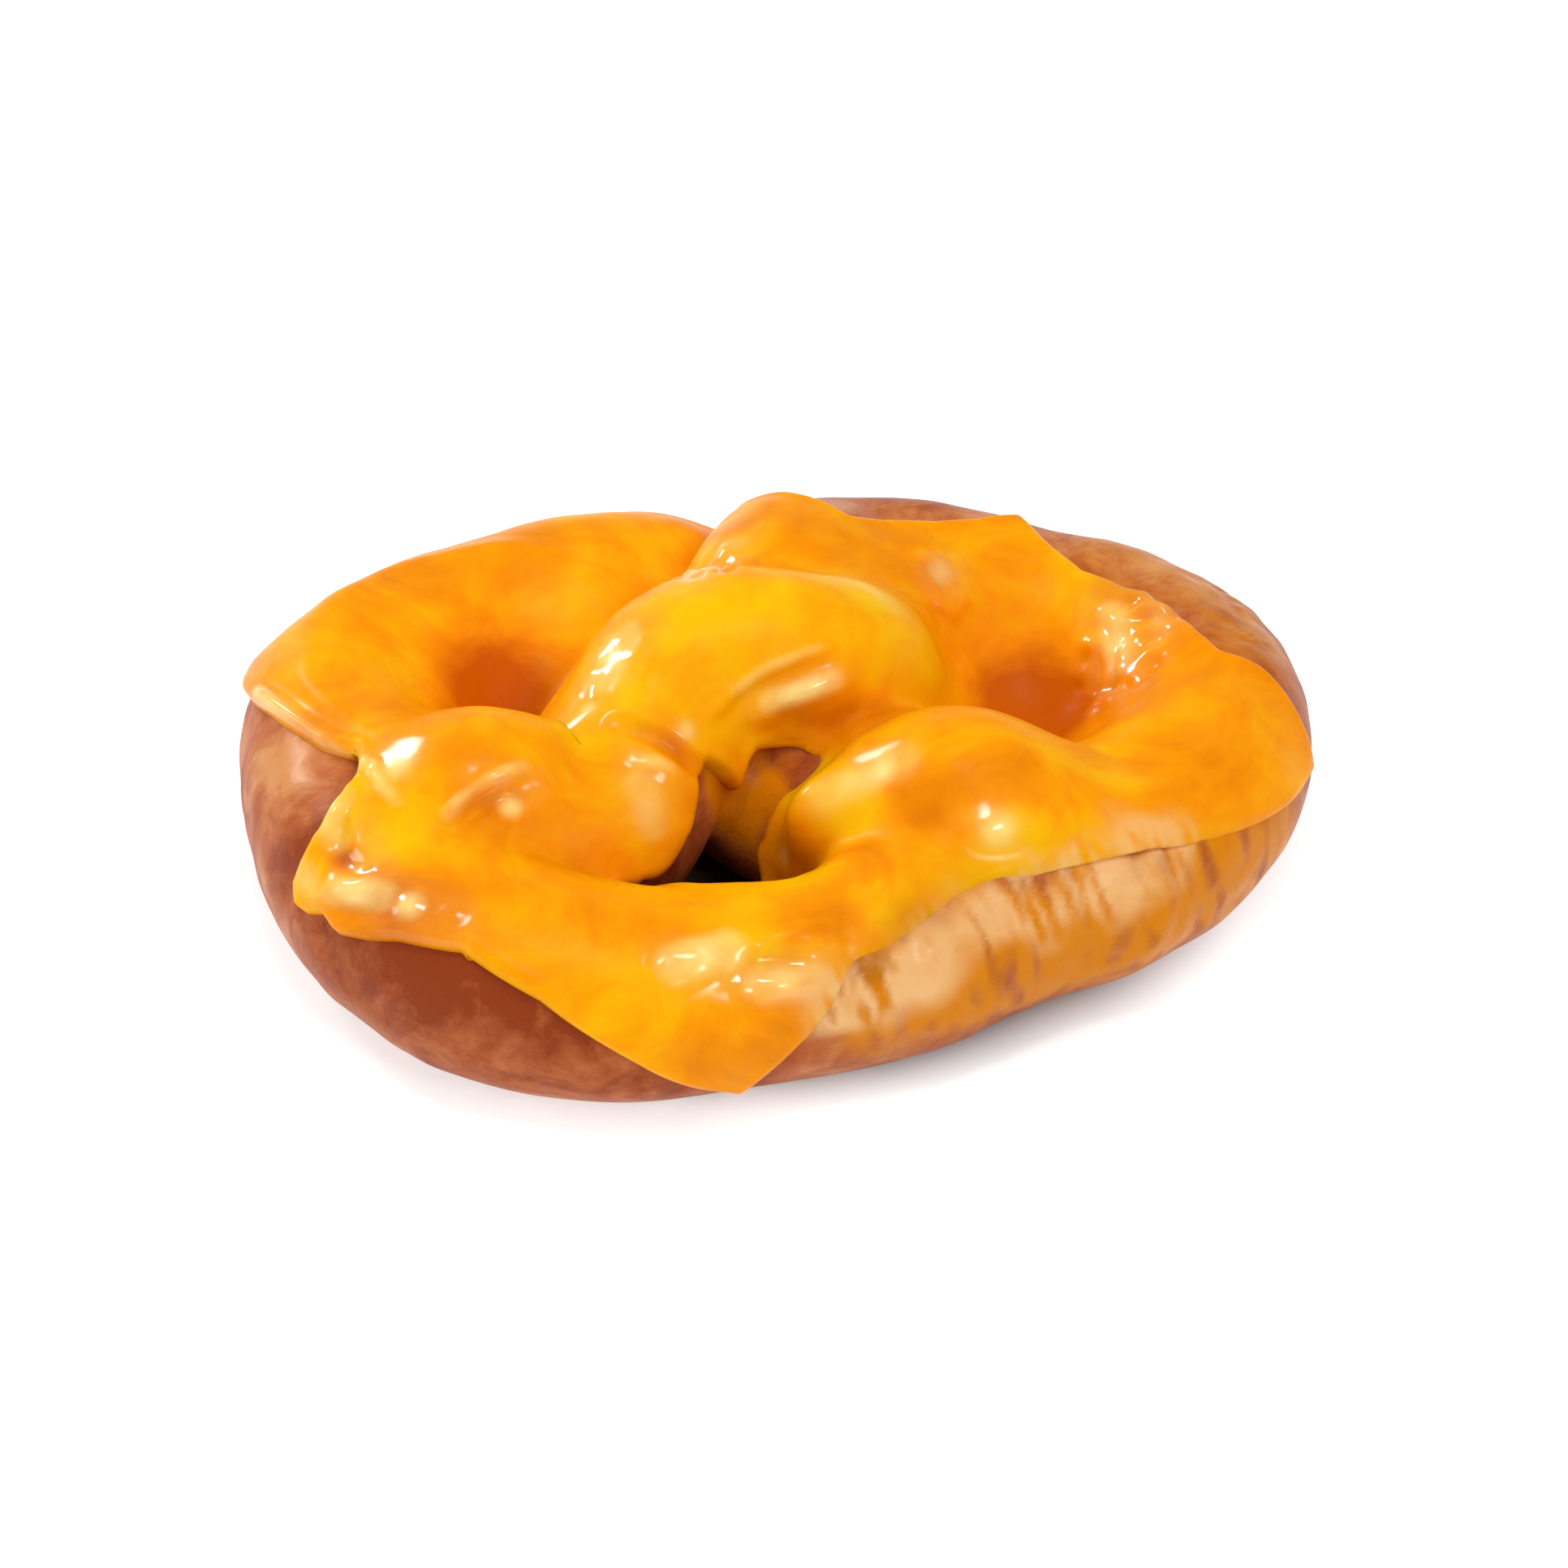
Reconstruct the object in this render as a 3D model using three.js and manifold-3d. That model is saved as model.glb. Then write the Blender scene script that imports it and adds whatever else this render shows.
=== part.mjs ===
// A soft pretzel with cheddar slices melted over it, in millimetres and +Z up.
//
// One rope of dough makes the whole pretzel. Its belly and two lobes lie as a ring, its two arms
// cross twice in the middle, and their ends are pressed on to the ring at the front left and the
// front right. The cheese is one sheet, draped over the rope: it sags into the two lobe holes, hangs
// over the outside of the ring in pointed corners, and leaves the small front hole open.
//
// Both solids come from one distance field, so the sheet lies on the dough wherever it touches it.

import * as THREE from "three";
import { mergeVertices } from "three/addons/utils/BufferGeometryUtils.js";
import Module from "manifold-3d";

const wasm = await Module();
wasm.setup();

// ---------------------------------------------------------------- driving dimensions

// The ring's centreline in plan: radius = meanRadius + the sum of swing * cos(turns * angle - phase),
// and the bulges. A bulge adds by millimetres round one angle, and fades out over so many degrees.
const RING = {
  meanRadius: 51.1,
  waves: [
    { turns: 1, swing: 7.43, phase: 109.4 },
    { turns: 2, swing: 9.5, phase: 34.6 },
    { turns: 3, swing: 2.7, phase: 77.8 },
    { turns: 5, swing: 1.8, phase: 51.6 },
  ],
  outward: [
    { at: 28, by: 3.2, over: 16 },
    { at: 78, by: 1.2, over: 16 },
    { at: 145, by: -1.8, over: 22 },
    { at: 166, by: 1, over: 10 },
    { at: 225, by: -1.2, over: 20 },
    { at: 262, by: 0.8, over: 28 },
    { at: 345, by: 2, over: 16 },
  ],
  ropeRadius: 14.3,
  swell: 0.5, // the rope is this much thicker at swellAt, and thinner opposite
  swellAt: 200,
  thicker: [{ at: 262, by: -1.6, over: 28 }], // the rope is thinner at the front
  squat: 0.9, // height of the centreline over the rope's radius: the baked rope has a flat base
  from: 114, // where the left arm leaves the ring, in degrees from +X
  to: 436, // where the right arm leaves it, once round
};

// The arms' centrelines from the back of the ring to their ends: [x, y, z, rope radius].
const LEFT_LOBE_ARM = [
  [-8, 39, 12, 12.5], // curls in behind
  [4, 31, 12, 12], // under the other arm
  [10, 21, 16, 12], // comes up on the right
  [9.5, 14, 24.5, 12.3],
  [2, 10, 27, 13], // top of the front crossing
  [-9, 9.5, 26, 14],
  [-17, -0.5, 22.5, 13],
  [-23, -13, 17.5, 12.5], // turns to the left, low behind the belly
  [-32, -15, 18.5, 13],
  [-40, -14, 21, 14], // climbs on the ring
  [-47.5, -15, 17, 12.5],
];
const RIGHT_LOBE_ARM = [
  [6, 43, 19, 13], // curls in behind
  [1.5, 34, 23.5, 12.3], // top of the back crossing
  [-4, 24, 21.5, 11.5],
  [-8, 13, 14, 11.5], // under the other arm
  [-1, 3, 12, 11.8],
  [10, -6, 13.5, 12.5], // comes out at the front
  [19, -11, 18, 13.5],
  [27, -14, 20.5, 14], // climbs on the ring
  [37, -18, 16.5, 12.5],
  [45, -21, 13.5, 11.5],
];

const DOUGH_FILLET = 3; // how far two touching ropes blend into each other
const BLEND_FROM = 10; // the blend fades out near an arm's root, where ring and arm are one rope
const BLEND_FULL = 30;
const DOUGH_CELL = 5.2; // size of the dough's facets

// The cheese.
const CHEESE = {
  thickness: 2,
  rimThickness: 1.1,
  rimWidth: 6,
  fillet: 6.5, // it bridges the creases between the ropes
  clearance: 0.45, // gap to the dough
  sink: 1.5, // how deep the uncut sheet's underside lies in the dough
  film: 2.4, // thickness where it hangs free
  cells: 38, // facets across the sheet
  evening: 12, // passes that spread the facets evenly down the steep walls
};

// What the sheet sags to where no rope carries it: a funnel in each of the pretzel's three holes. It
// rises with slope from its floor, is rounded at the bottom, and runs into the ropes over reach.
const BOWLS = [
  { x: -40, y: 13, radius: 20, floor: 13, slope: 0.6, rounding: 6, reach: 11 },
  { x: 36, y: 14, radius: 20, floor: 12, slope: 0.6, rounding: 6, reach: 8 },
  { x: -7, y: -19, radius: 19, floor: 7, slope: 0.5, rounding: 8, reach: 5 },
];

// Cheese has pooled in the crease beside the back crossing, and the sheet lies over it. The pool is
// laid out like an arm, and the sheet runs into it over POOL_REACH.
const POOL = [
  [27, 43, 13, 13],
  [18, 38, 17, 12],
  [11, 31, 19, 11],
];
const POOL_REACH = 6;

// The sheet's edge: at each angle round the ring, how far it runs past the crest of the ring's rope,
// measured over the rope. Negative values stop short of the crest and leave it bare.
const SHEET_EDGE = [
  [-6, 20],
  [2, 21],
  [5, 17], // right corner
  [7, 13.5],
  [11, 7],
  [14, 0],
  [18, -2.5],
  [26, -4.6],
  [32, -5.4],
  [39, -5.4],
  [48, 0],
  [54, 5], // back corner
  [58, -1],
  [63, -5],
  [69, -8],
  [76, -12],
  [84, -8],
  [92, -2],
  [100, 8],
  [108, 13],
  [116, 15],
  [124, 16],
  [150, 18],
  [158, 19],
  [166, 20.5], // left corner
  [177, 11],
  [187, 4],
  [191, -0.5],
  [195, 0],
  [199, 5],
  [202, 9.5],
  [204.5, 17], // front-left fold
  [207, 20],
  [210, 17.5],
  [213, 18.5],
  [217, 16.5],
  [221, 14],
  [229, 11.5],
  [240, 15],
  [252, 22],
  [265, 32], // front corner
  [271, 26],
  [279, 19],
  [284, 13],
  [291, 11.5],
  [301, 9],
  [310, 8.5],
  [325, 11.5],
  [335, 13],
  [345, 17],
];

// The front hole in the sheet, in plan.
const FRONT_HOLE = [
  [0.5, -4.5],
  [-3, -4.5],
  [-7, -7],
  [-10, -12],
  [-11.5, -17.5],
  [-14.3, -21.8],
  [-17.8, -25.5],
  [-18.3, -28.5],
  [-13, -31],
  [-7, -32],
  [-1, -31.5],
  [3, -29],
  [3, -25],
  [0.5, -20],
  [0, -14.5],
  [2, -11],
  [5.5, -9],
  [7, -6.5],
  [4, -4.8],
];

// Where the hole runs past the left lobe's end, none of the sheet hangs lower than top.
const LEFT_WALL = { x: -15, y: -25, radius: 10, top: 19 };

// Gentle lumps in the melted surface: height in mm, and waves per mm along x and y.
const LUMPS = [
  { height: 0.35, x: 0.11, y: 0.05, phase: 0.4 },
  { height: 0.3, x: -0.06, y: 0.13, phase: 2.1 },
  { height: 0.2, x: 0.17, y: 0.14, phase: 4.0 },
];

// Moves the origin under the middle of the whole pretzel.
const CENTRE = { x: 0.9, y: 4.5 };

const DOUGH_COLOUR = 0xa8552a;
const CHEESE_COLOUR = 0xffa10a;

const SKY = 60; // above everything
const UP = new THREE.Vector3(0, 0, 1);
const { clamp, lerp, smoothstep, degToRad, euclideanModulo } = THREE.MathUtils;

// ---------------------------------------------------------------- the rope

// What a list of bulges adds at an angle in degrees.
function bulging(bulges, angle) {
  return bulges.reduce((sum, { at, by, over }) => {
    const away = euclideanModulo(angle - at + 180, 360) - 180;
    return sum + by * Math.exp(-((away / over) ** 2));
  }, 0);
}

// The ring's plan radius at an angle.
function ringRadius(angle) {
  const t = degToRad(angle);
  return RING.waves.reduce(
    (sum, w) => sum + w.swing * Math.cos(w.turns * t - degToRad(w.phase)),
    RING.meanRadius + bulging(RING.outward, angle),
  );
}

// Radius of the ring's rope at an angle.
function ringRope(angle) {
  const swell = RING.swell * Math.cos(degToRad(angle - RING.swellAt));
  return RING.ropeRadius + swell + bulging(RING.thicker, angle);
}

// A point of the ring's centreline as [x, y, z, rope radius].
function ringStation(angle) {
  const t = degToRad(angle);
  const radius = ringRadius(angle);
  const rope = ringRope(angle);
  return [
    radius * Math.cos(t),
    radius * Math.sin(t),
    rope * RING.squat,
    rope,
  ];
}

// A smooth rope through control points, as stations a few millimetres apart.
function rope(points, spacing = 3) {
  const path = new THREE.CatmullRomCurve3(
    points.map(([x, y, z]) => new THREE.Vector3(x, y, z)),
  );
  const count = Math.ceil(path.getLength() / spacing);
  const last = points.length - 1;
  const stations = [];
  for (let i = 0; i <= count; i++) {
    const along = (i / count) * last;
    const before = Math.min(Math.floor(along), last - 1);
    const radius = lerp(
      points[before][3],
      points[before + 1][3],
      along - before,
    );
    stations.push({ centre: path.getPoint(i / count), radius });
  }
  return stations;
}

const ringPoints = [];
const RING_STEP = 3; // degrees
for (let angle = RING.from; angle <= RING.to; angle += RING_STEP) {
  ringPoints.push(ringStation(angle));
}
const ring = rope(ringPoints);
const arms = [
  rope([ringStation(RING.from + 8), ringStation(RING.from), ...LEFT_LOBE_ARM]),
  rope([ringStation(RING.to - 8), ringStation(RING.to), ...RIGHT_LOBE_ARM]),
];
const pool = rope(POOL);
const roots = [RING.from, RING.to].map((angle) => {
  const [x, y, z] = ringStation(angle);
  return new THREE.Vector3(x, y, z);
});

// ---------------------------------------------------------------- distance fields

// Distance from a point to a rope's surface, negative inside.
const axis = new THREE.Vector3();
const offset = new THREE.Vector3();
function ropeDistance(stations, point) {
  let nearest = Infinity;
  for (let i = 1; i < stations.length; i++) {
    const a = stations[i - 1];
    const b = stations[i];
    axis.subVectors(b.centre, a.centre);
    offset.subVectors(point, a.centre);
    const along = clamp(offset.dot(axis) / axis.lengthSq(), 0, 1);
    const gap =
      offset.addScaledVector(axis, -along).length() -
      lerp(a.radius, b.radius, along);
    nearest = Math.min(nearest, gap);
  }
  return nearest;
}

// Smooth union of two distances: they run into each other over a length of reach.
function blend(a, b, reach) {
  const share = clamp(0.5 + (0.5 * (b - a)) / reach, 0, 1);
  return lerp(b, a, share) - reach * share * (1 - share);
}

// Distance to the pretzel, with its touching ropes joined by a fillet.
function doughDistance(point, fillet = DOUGH_FILLET) {
  const toRoot = Math.min(...roots.map((root) => root.distanceTo(point)));
  const reach = Math.max(
    fillet * smoothstep(toRoot, BLEND_FROM, BLEND_FULL),
    0.01,
  );
  const [left, right] = arms.map((arm) => ropeDistance(arm, point));
  return blend(blend(left, right, reach), ropeDistance(ring, point), reach);
}

// Distance to what fills a bowl up to the sheet.
function bowlDistance(bowl, point) {
  const out = Math.hypot(point.x - bowl.x, point.y - bowl.y);
  const climb = Math.hypot(out, bowl.rounding) - bowl.rounding;
  const level = bowl.floor + bowl.slope * climb;
  return Math.max(point.z - level, out - bowl.radius);
}

function lumps(point) {
  return LUMPS.reduce(
    (sum, l) =>
      sum + l.height * Math.sin(l.x * point.x + l.y * point.y + l.phase),
    0,
  );
}

// Distance to the sheet's upper face, for a sheet of one thickness.
function sheetDistance(point, thickness) {
  const face = BOWLS.reduce(
    (carried, bowl) => blend(carried, bowlDistance(bowl, point), bowl.reach),
    blend(doughDistance(point, CHEESE.fillet), ropeDistance(pool, point), POOL_REACH),
  );
  return face - thickness - lumps(point);
}

// ---------------------------------------------------------------- meshes

// The eight corners of a cell; corner c lies at bit 0 of c along x, bit 1 along y, bit 2 along z.
const CORNERS = [0, 1, 2, 3, 4, 5, 6, 7].map(
  (c) => new THREE.Vector3(c & 1, (c >> 1) & 1, (c >> 2) & 1),
);

// Labels each inside corner of a cell with the lowest corner that it joins along inside edges.
function bodiesInCell(values) {
  const label = values.map((value, c) => (value < 0 ? c : -1));
  for (let pass = 0; pass < 4; pass++)
    for (let c = 0; c < 8; c++)
      for (const bit of [1, 2, 4]) {
        const d = c ^ bit;
        if (label[c] < 0 || label[d] < 0) continue;
        label[c] = label[d] = Math.min(label[c], label[d]);
      }
  return label;
}

// Skins a field inside a box with cells of one size. Each body that reaches into a cell has one
// vertex there, and each grid edge that the surface crosses has one quad round it.
function skin(field, box, cell) {
  const count = box.getSize(new THREE.Vector3()).divideScalar(cell).ceil();
  const [nx, ny, nz] = [count.x + 1, count.y + 1, count.z + 1];
  const at = (i, j, k) => (i * ny + j) * nz + k;
  const place = (step) => step.clone().multiplyScalar(cell).add(box.min);
  const nodes = [];
  for (let i = 0; i < nx; i++)
    for (let j = 0; j < ny; j++)
      for (let k = 0; k < nz; k++) nodes.push(new THREE.Vector3(i, j, k));
  const value = nodes.map((node) => field(place(node)));
  const within = (n) => n.x < nx - 1 && n.y < ny - 1 && n.z < nz - 1;

  const points = [];
  const vertexAt = new Map(); // by cell * 8 + inside corner
  for (const node of nodes.filter(within)) {
    const values = CORNERS.map(
      (c) => value[at(node.x + c.x, node.y + c.y, node.z + c.z)],
    );
    const label = bodiesInCell(values);
    for (const body of new Set(label.filter((l) => l >= 0))) {
      const crossings = [];
      for (let c = 0; c < 8; c++)
        for (const bit of [1, 2, 4]) {
          const d = c ^ bit;
          if (label[c] !== body || values[d] < 0) continue;
          const share = values[c] / (values[c] - values[d]);
          crossings.push(CORNERS[c].clone().lerp(CORNERS[d], share));
        }
      if (!crossings.length) continue;
      const middle = crossings
        .reduce((sum, crossing) => sum.add(crossing), new THREE.Vector3())
        .divideScalar(crossings.length);
      const point = place(middle.add(node));
      settle(point, field, cell / 3);
      label.forEach((l, c) => {
        if (l === body) {
          vertexAt.set(at(node.x, node.y, node.z) * 8 + c, points.length);
        }
      });
      points.push(point);
    }
  }

  const indices = [];
  const inner = nodes.filter((n) => within(n) && n.x && n.y && n.z);
  for (const node of inner)
    for (let along = 0; along < 3; along++) {
      const end = node.clone().setComponent(along, node.getComponent(along) + 1);
      const inside = value[at(node.x, node.y, node.z)] < 0;
      if (inside === value[at(end.x, end.y, end.z)] < 0) continue;
      const corner = inside ? node : end;
      const quad = [
        [1, 1],
        [0, 1],
        [0, 0],
        [1, 0],
      ].map(([u, v]) => {
        const base = node.clone();
        const [first, second] = [(along + 1) % 3, (along + 2) % 3];
        base.setComponent(first, base.getComponent(first) - u);
        base.setComponent(second, base.getComponent(second) - v);
        const c = corner.clone().sub(base);
        return vertexAt.get(
          at(base.x, base.y, base.z) * 8 + c.x + 2 * c.y + 4 * c.z,
        );
      });
      if (!inside) quad.reverse();
      indices.push(quad[0], quad[1], quad[2], quad[0], quad[2], quad[3]);
    }
  const geometry = new THREE.BufferGeometry().setFromPoints(points);
  geometry.setIndex(indices);
  return geometry;
}

// The direction in which a field grows, at a point.
function slopeOf(field, point) {
  const h = 0.05;
  const value = field(point);
  return new THREE.Vector3(
    ...["x", "y", "z"].map((key) => {
      const near = point.clone();
      near[key] += h;
      return (field(near) - value) / h;
    }),
  );
}

// Moves a point on to a field's surface, but no further than limit.
function settle(point, field, limit) {
  const start = point.clone();
  for (let pass = 0; pass < 3; pass++) {
    const slope = slopeOf(field, point);
    const steepness = Math.max(slope.lengthSq(), 0.3);
    point.addScaledVector(slope, -field(point) / steepness);
  }
  if (point.distanceTo(start) > limit) {
    point.sub(start).setLength(limit).add(start);
  }
}

// Walks a ray until it meets a field's surface, but no further than limit.
function walk(start, direction, field, limit) {
  const point = start.clone();
  let gone = 0;
  for (let step = 0; step < 80 && gone < limit; step++) {
    const gap = field(point);
    if (gap < 0.01) break;
    const stride = Math.min(gap, limit - gone);
    point.addScaledVector(direction, stride);
    gone += stride;
  }
  return point;
}

// How far the sheet runs past the crest of the ring at an angle in degrees.
function sheetEdge(angle) {
  const first = SHEET_EDGE[0][0];
  const turned = euclideanModulo(angle - first, 360) + first;
  const closed = [...SHEET_EDGE, [first + 360, SHEET_EDGE[0][1]]];
  const next = closed.findIndex(([at]) => at > turned);
  const [a, from] = closed[next - 1];
  const [b, to] = closed[next];
  return lerp(from, to, (turned - a) / (b - a));
}

// The sheet before it is cut: a square grid, spread from the middle out over the ring. Inside the
// ring's crest it falls straight down, and past the crest it wraps round the rope.
function sheetBlank() {
  const n = CHEESE.cells;
  const at = (i, j) => i * (n + 1) + j;
  const top = [];
  const faces = []; // the field of each point's own thickness
  for (let i = 0; i <= n; i++)
    for (let j = 0; j <= n; j++) {
      const u = (2 * i) / n - 1;
      const v = (2 * j) / n - 1;
      const share = Math.max(Math.abs(u), Math.abs(v));
      const wide = Math.abs(u) >= Math.abs(v);
      const turn = wide ? (45 * v) / (u || 1) : 90 - (45 * u) / v;
      const angle = turn + ((wide ? u : v) < 0 ? 180 : 0);
      const [x, y, z, radius] = ringStation(angle);
      const crest = Math.hypot(x, y);
      const length = crest + sheetEdge(angle);
      const reach = share * length;
      const lean = Math.max(reach - crest, 0) / (radius + CHEESE.thickness);
      const outward = new THREE.Vector3(x, y, 0).divideScalar(crest);
      const away = outward
        .clone()
        .multiplyScalar(Math.sin(lean))
        .addScaledVector(UP, Math.cos(lean));
      const foot = outward.multiplyScalar(Math.min(reach, crest)).setZ(z);
      const thickness = lerp(
        CHEESE.rimThickness,
        CHEESE.thickness,
        smoothstep(length - reach, 0, CHEESE.rimWidth),
      );
      const face = (point) => sheetDistance(point, thickness);
      const start = foot.addScaledVector(away, SKY - z);
      top.push(walk(start, away.negate(), face, SKY));
      faces.push(face);
    }

  for (let pass = 0; pass < CHEESE.evening; pass++)
    for (let i = 1; i < n; i++)
      for (let j = 1; j < n; j++) {
        const point = top[at(i, j)];
        point.set(0, 0, 0);
        for (const near of [at(i - 1, j), at(i + 1, j), at(i, j - 1), at(i, j + 1)]) {
          point.addScaledVector(top[near], 1 / 4);
        }
        settle(point, faces[at(i, j)], CHEESE.fillet);
      }

  const under = top.map((point, k) => {
    const inward = slopeOf(faces[k], point).normalize().negate();
    const sunk = (p) => doughDistance(p) + CHEESE.sink;
    return walk(point, inward, sunk, CHEESE.film);
  });

  const geometry = new THREE.BufferGeometry().setFromPoints([...top, ...under]);
  const indices = [];
  const facet = (a, b, c, d) => indices.push(a, b, c, a, c, d);
  for (let i = 0; i < n; i++)
    for (let j = 0; j < n; j++) {
      const quad = [at(i, j), at(i + 1, j), at(i + 1, j + 1), at(i, j + 1)];
      facet(...quad);
      facet(...quad.reverse().map((k) => k + top.length));
    }
  for (let i = 0; i < n; i++) {
    for (const [a, b] of [
      [at(i + 1, 0), at(i, 0)],
      [at(i, n), at(i + 1, n)],
      [at(0, i), at(0, i + 1)],
      [at(n, i + 1), at(n, i)],
    ]) {
      facet(a, b, b + top.length, a + top.length);
    }
  }
  geometry.setIndex(indices);
  return geometry;
}

// ---------------------------------------------------------------- joining and cutting

function solidOf(geometry) {
  const bare = geometry.clone();
  bare.deleteAttribute("normal");
  bare.deleteAttribute("uv");
  const merged = mergeVertices(bare, 1e-4);
  const mesh = new wasm.Mesh({
    numProp: 3,
    vertProperties: merged.attributes.position.array,
    triVerts: new Uint32Array(merged.index.array),
  });
  return new wasm.Manifold(mesh);
}

// The largest body of a solid: cutting can leave scraps.
function largest(solid) {
  return solid
    .decompose()
    .reduce((best, body) => (body.volume() > best.volume() ? body : best));
}

function meshOf(name, solid, colour, roughness) {
  const { vertProperties, triVerts } = solid.getMesh();
  const geometry = new THREE.BufferGeometry();
  geometry.setAttribute(
    "position",
    new THREE.BufferAttribute(vertProperties, 3),
  );
  geometry.setIndex(new THREE.BufferAttribute(triVerts, 1));
  geometry.computeVertexNormals();
  const material = new THREE.MeshStandardMaterial({
    color: colour,
    roughness,
    metalness: 0,
  });
  const mesh = new THREE.Mesh(geometry, material);
  mesh.name = name;
  return mesh;
}

// ---------------------------------------------------------------- the pretzel

const oven = new THREE.Box3(
  new THREE.Vector3(-90, -74, -12),
  new THREE.Vector3(90, 84, 56),
);

// The dough stands on the flat that it baked on, at z = 0.
const dough = solidOf(
  skin((point) => Math.max(doughDistance(point), -point.z), oven, DOUGH_CELL),
);

function buildCheese() {
  const outline = new THREE.Shape(
    new THREE.SplineCurve(
      [...FRONT_HOLE, FRONT_HOLE[0]].map(([x, y]) => new THREE.Vector2(x, y)),
    ).getPoints(30),
  );
  const punch = new THREE.ExtrudeGeometry(outline, {
    depth: SKY,
    bevelEnabled: false,
  });
  const below = new THREE.CylinderGeometry(
    LEFT_WALL.radius,
    LEFT_WALL.radius,
    LEFT_WALL.top,
    48,
  )
    .rotateX(Math.PI / 2)
    .translate(LEFT_WALL.x, LEFT_WALL.y, LEFT_WALL.top / 2);
  const room = skin(
    (point) => doughDistance(point) - CHEESE.clearance,
    oven,
    DOUGH_CELL,
  );
  return largest(
    solidOf(sheetBlank())
      .subtract(solidOf(room))
      .subtract(dough)
      .subtract(solidOf(punch))
      .subtract(solidOf(below)),
  );
}

const pretzel = new THREE.Group();
pretzel.add(meshOf("dough", dough, DOUGH_COLOUR, 0.45));
pretzel.add(meshOf("cheese", buildCheese(), CHEESE_COLOUR, 0.25));
pretzel.position.set(-CENTRE.x, -CENTRE.y, 0);

export default pretzel;
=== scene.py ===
"""A soft pretzel with cheddar slices melted over it.

The dough and the cheese are worked out from the same ropes of dough as the solids that they stand
for, on a finer grid. Then they get the relief that baking and melting leave: an uneven crust with
fine wrinkles, and a sheet of cheese with rolled and folded edges, creases, lumps, ripples, tongues
that run down into the front hole, and an edge that feathers out.
"""

import logging
import math
from dataclasses import dataclass
from enum import Enum
from typing import Callable, ClassVar, Optional, Sequence, Union

import bpy
import numpy as np
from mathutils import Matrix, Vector


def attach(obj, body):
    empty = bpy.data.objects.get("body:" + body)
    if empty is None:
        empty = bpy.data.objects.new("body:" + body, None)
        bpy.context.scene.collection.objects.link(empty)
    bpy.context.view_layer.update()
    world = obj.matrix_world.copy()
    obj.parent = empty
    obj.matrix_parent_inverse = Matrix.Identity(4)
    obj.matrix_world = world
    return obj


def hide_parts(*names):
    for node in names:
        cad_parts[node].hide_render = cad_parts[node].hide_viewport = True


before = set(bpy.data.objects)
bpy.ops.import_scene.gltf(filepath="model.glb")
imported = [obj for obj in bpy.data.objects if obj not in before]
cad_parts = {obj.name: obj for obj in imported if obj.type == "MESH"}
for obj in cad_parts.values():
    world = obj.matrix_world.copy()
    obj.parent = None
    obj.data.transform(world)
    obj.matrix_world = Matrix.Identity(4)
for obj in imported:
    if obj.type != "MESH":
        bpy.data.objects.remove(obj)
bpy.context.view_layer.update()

LOG = logging.getLogger("pretzel")

Array = np.ndarray
Colour = tuple[float, float, float]
Place = tuple[float, float, float]
Route = tuple[Place, ...]
Span = tuple[float, float]

MM = 0.001
TINY = 1e-9
# The ropes are laid out round the ring's own centre, which lies here in the object's frame, in mm.
RING_CENTRE = np.array([-0.9, -4.5, 0.0])
# The corners of a lattice's cell, as steps along x, y and z.
CORNERS = [(a, b, c) for a in (0, 1) for b in (0, 1) for c in (0, 1)]


class Reading(Enum):
    """A value that a mesh holds for each vertex, which its finish reads."""

    PALE = "pale"
    PAINTED_SHADE = "dark"
    GLAZE = "glaze"
    STREAK = "streak"
    TONE_LIGHT_AND_SHADE = "depth"
    SHINE = "shine"
    THIN = "thin"
    RUN = "run"


# ------------------------------------------------------------------ numbers over arrays


def smoothstep(value: Array, low: float, high: float) -> Array:
    """Rises smoothly from 0 at low to 1 at high."""
    share = np.clip((value - low) / (high - low), 0, 1)
    return share * share * (3 - 2 * share)


def blend(first: Array, second: Array, reach: Union[float, Array]) -> Array:
    """Joins two distance fields, which run into each other over a length, the reach."""
    share = np.clip(0.5 + 0.5 * (second - first) / reach, 0, 1)
    return second + (first - second) * share - reach * share * (1 - share)


def unit(vectors: Array) -> Array:
    """Scales vectors to length 1."""
    return vectors / np.maximum(np.linalg.norm(vectors, axis=-1, keepdims=True), TINY)


def gathered(numbers: Array, rows: Array, size: int) -> Array:
    """Adds up the rows that have the same number, for each number below size."""
    return np.stack([np.bincount(numbers, column, size) for column in rows.T], axis=1)


def both_ways(edges: Array) -> Array:
    """Edges and the same edges turned round."""
    return np.concatenate([edges, edges[:, ::-1]])


def plan_angle(points: Array) -> Array:
    """The points' angles round the ring's centre, in degrees."""
    return np.degrees(np.arctan2(points[:, 1], points[:, 0]))


@dataclass(frozen=True)
class Unevenness:
    """Soft random lumps, made of waves that run in random directions.

    Attributes:
        seed: Picks one set of waves.
        length: The lumps' length in mm.
        waves: How many waves are laid over one another.
        fineness: The range of the waves' fineness, as a share of the lumps'.
        peak: Where the waves' sum peaks, which is brought down to about 1.
    """

    seed: int
    length: float
    waves: int = 14
    fineness: Span = (0.6, 1.6)
    peak: float = 1.6

    def __call__(self, points: Array) -> Array:
        """Reads the lumps at points, about -1 to 1."""
        draw = np.random.default_rng(self.seed)
        directions = unit(draw.normal(size=(self.waves, 3)))
        fineness = draw.uniform(*self.fineness, self.waves)
        phases = draw.uniform(0, 2 * math.pi, self.waves)
        total = np.zeros(points.shape[:-1])
        for direction, scale, phase in zip(directions, fineness, phases):
            turns = points @ direction * (2 * math.pi * scale / self.length)
            total += np.sin(turns + phase)
        return total * math.sqrt(2 / self.waves) / self.peak


Swells = tuple[tuple[float, Unevenness], ...]


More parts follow.
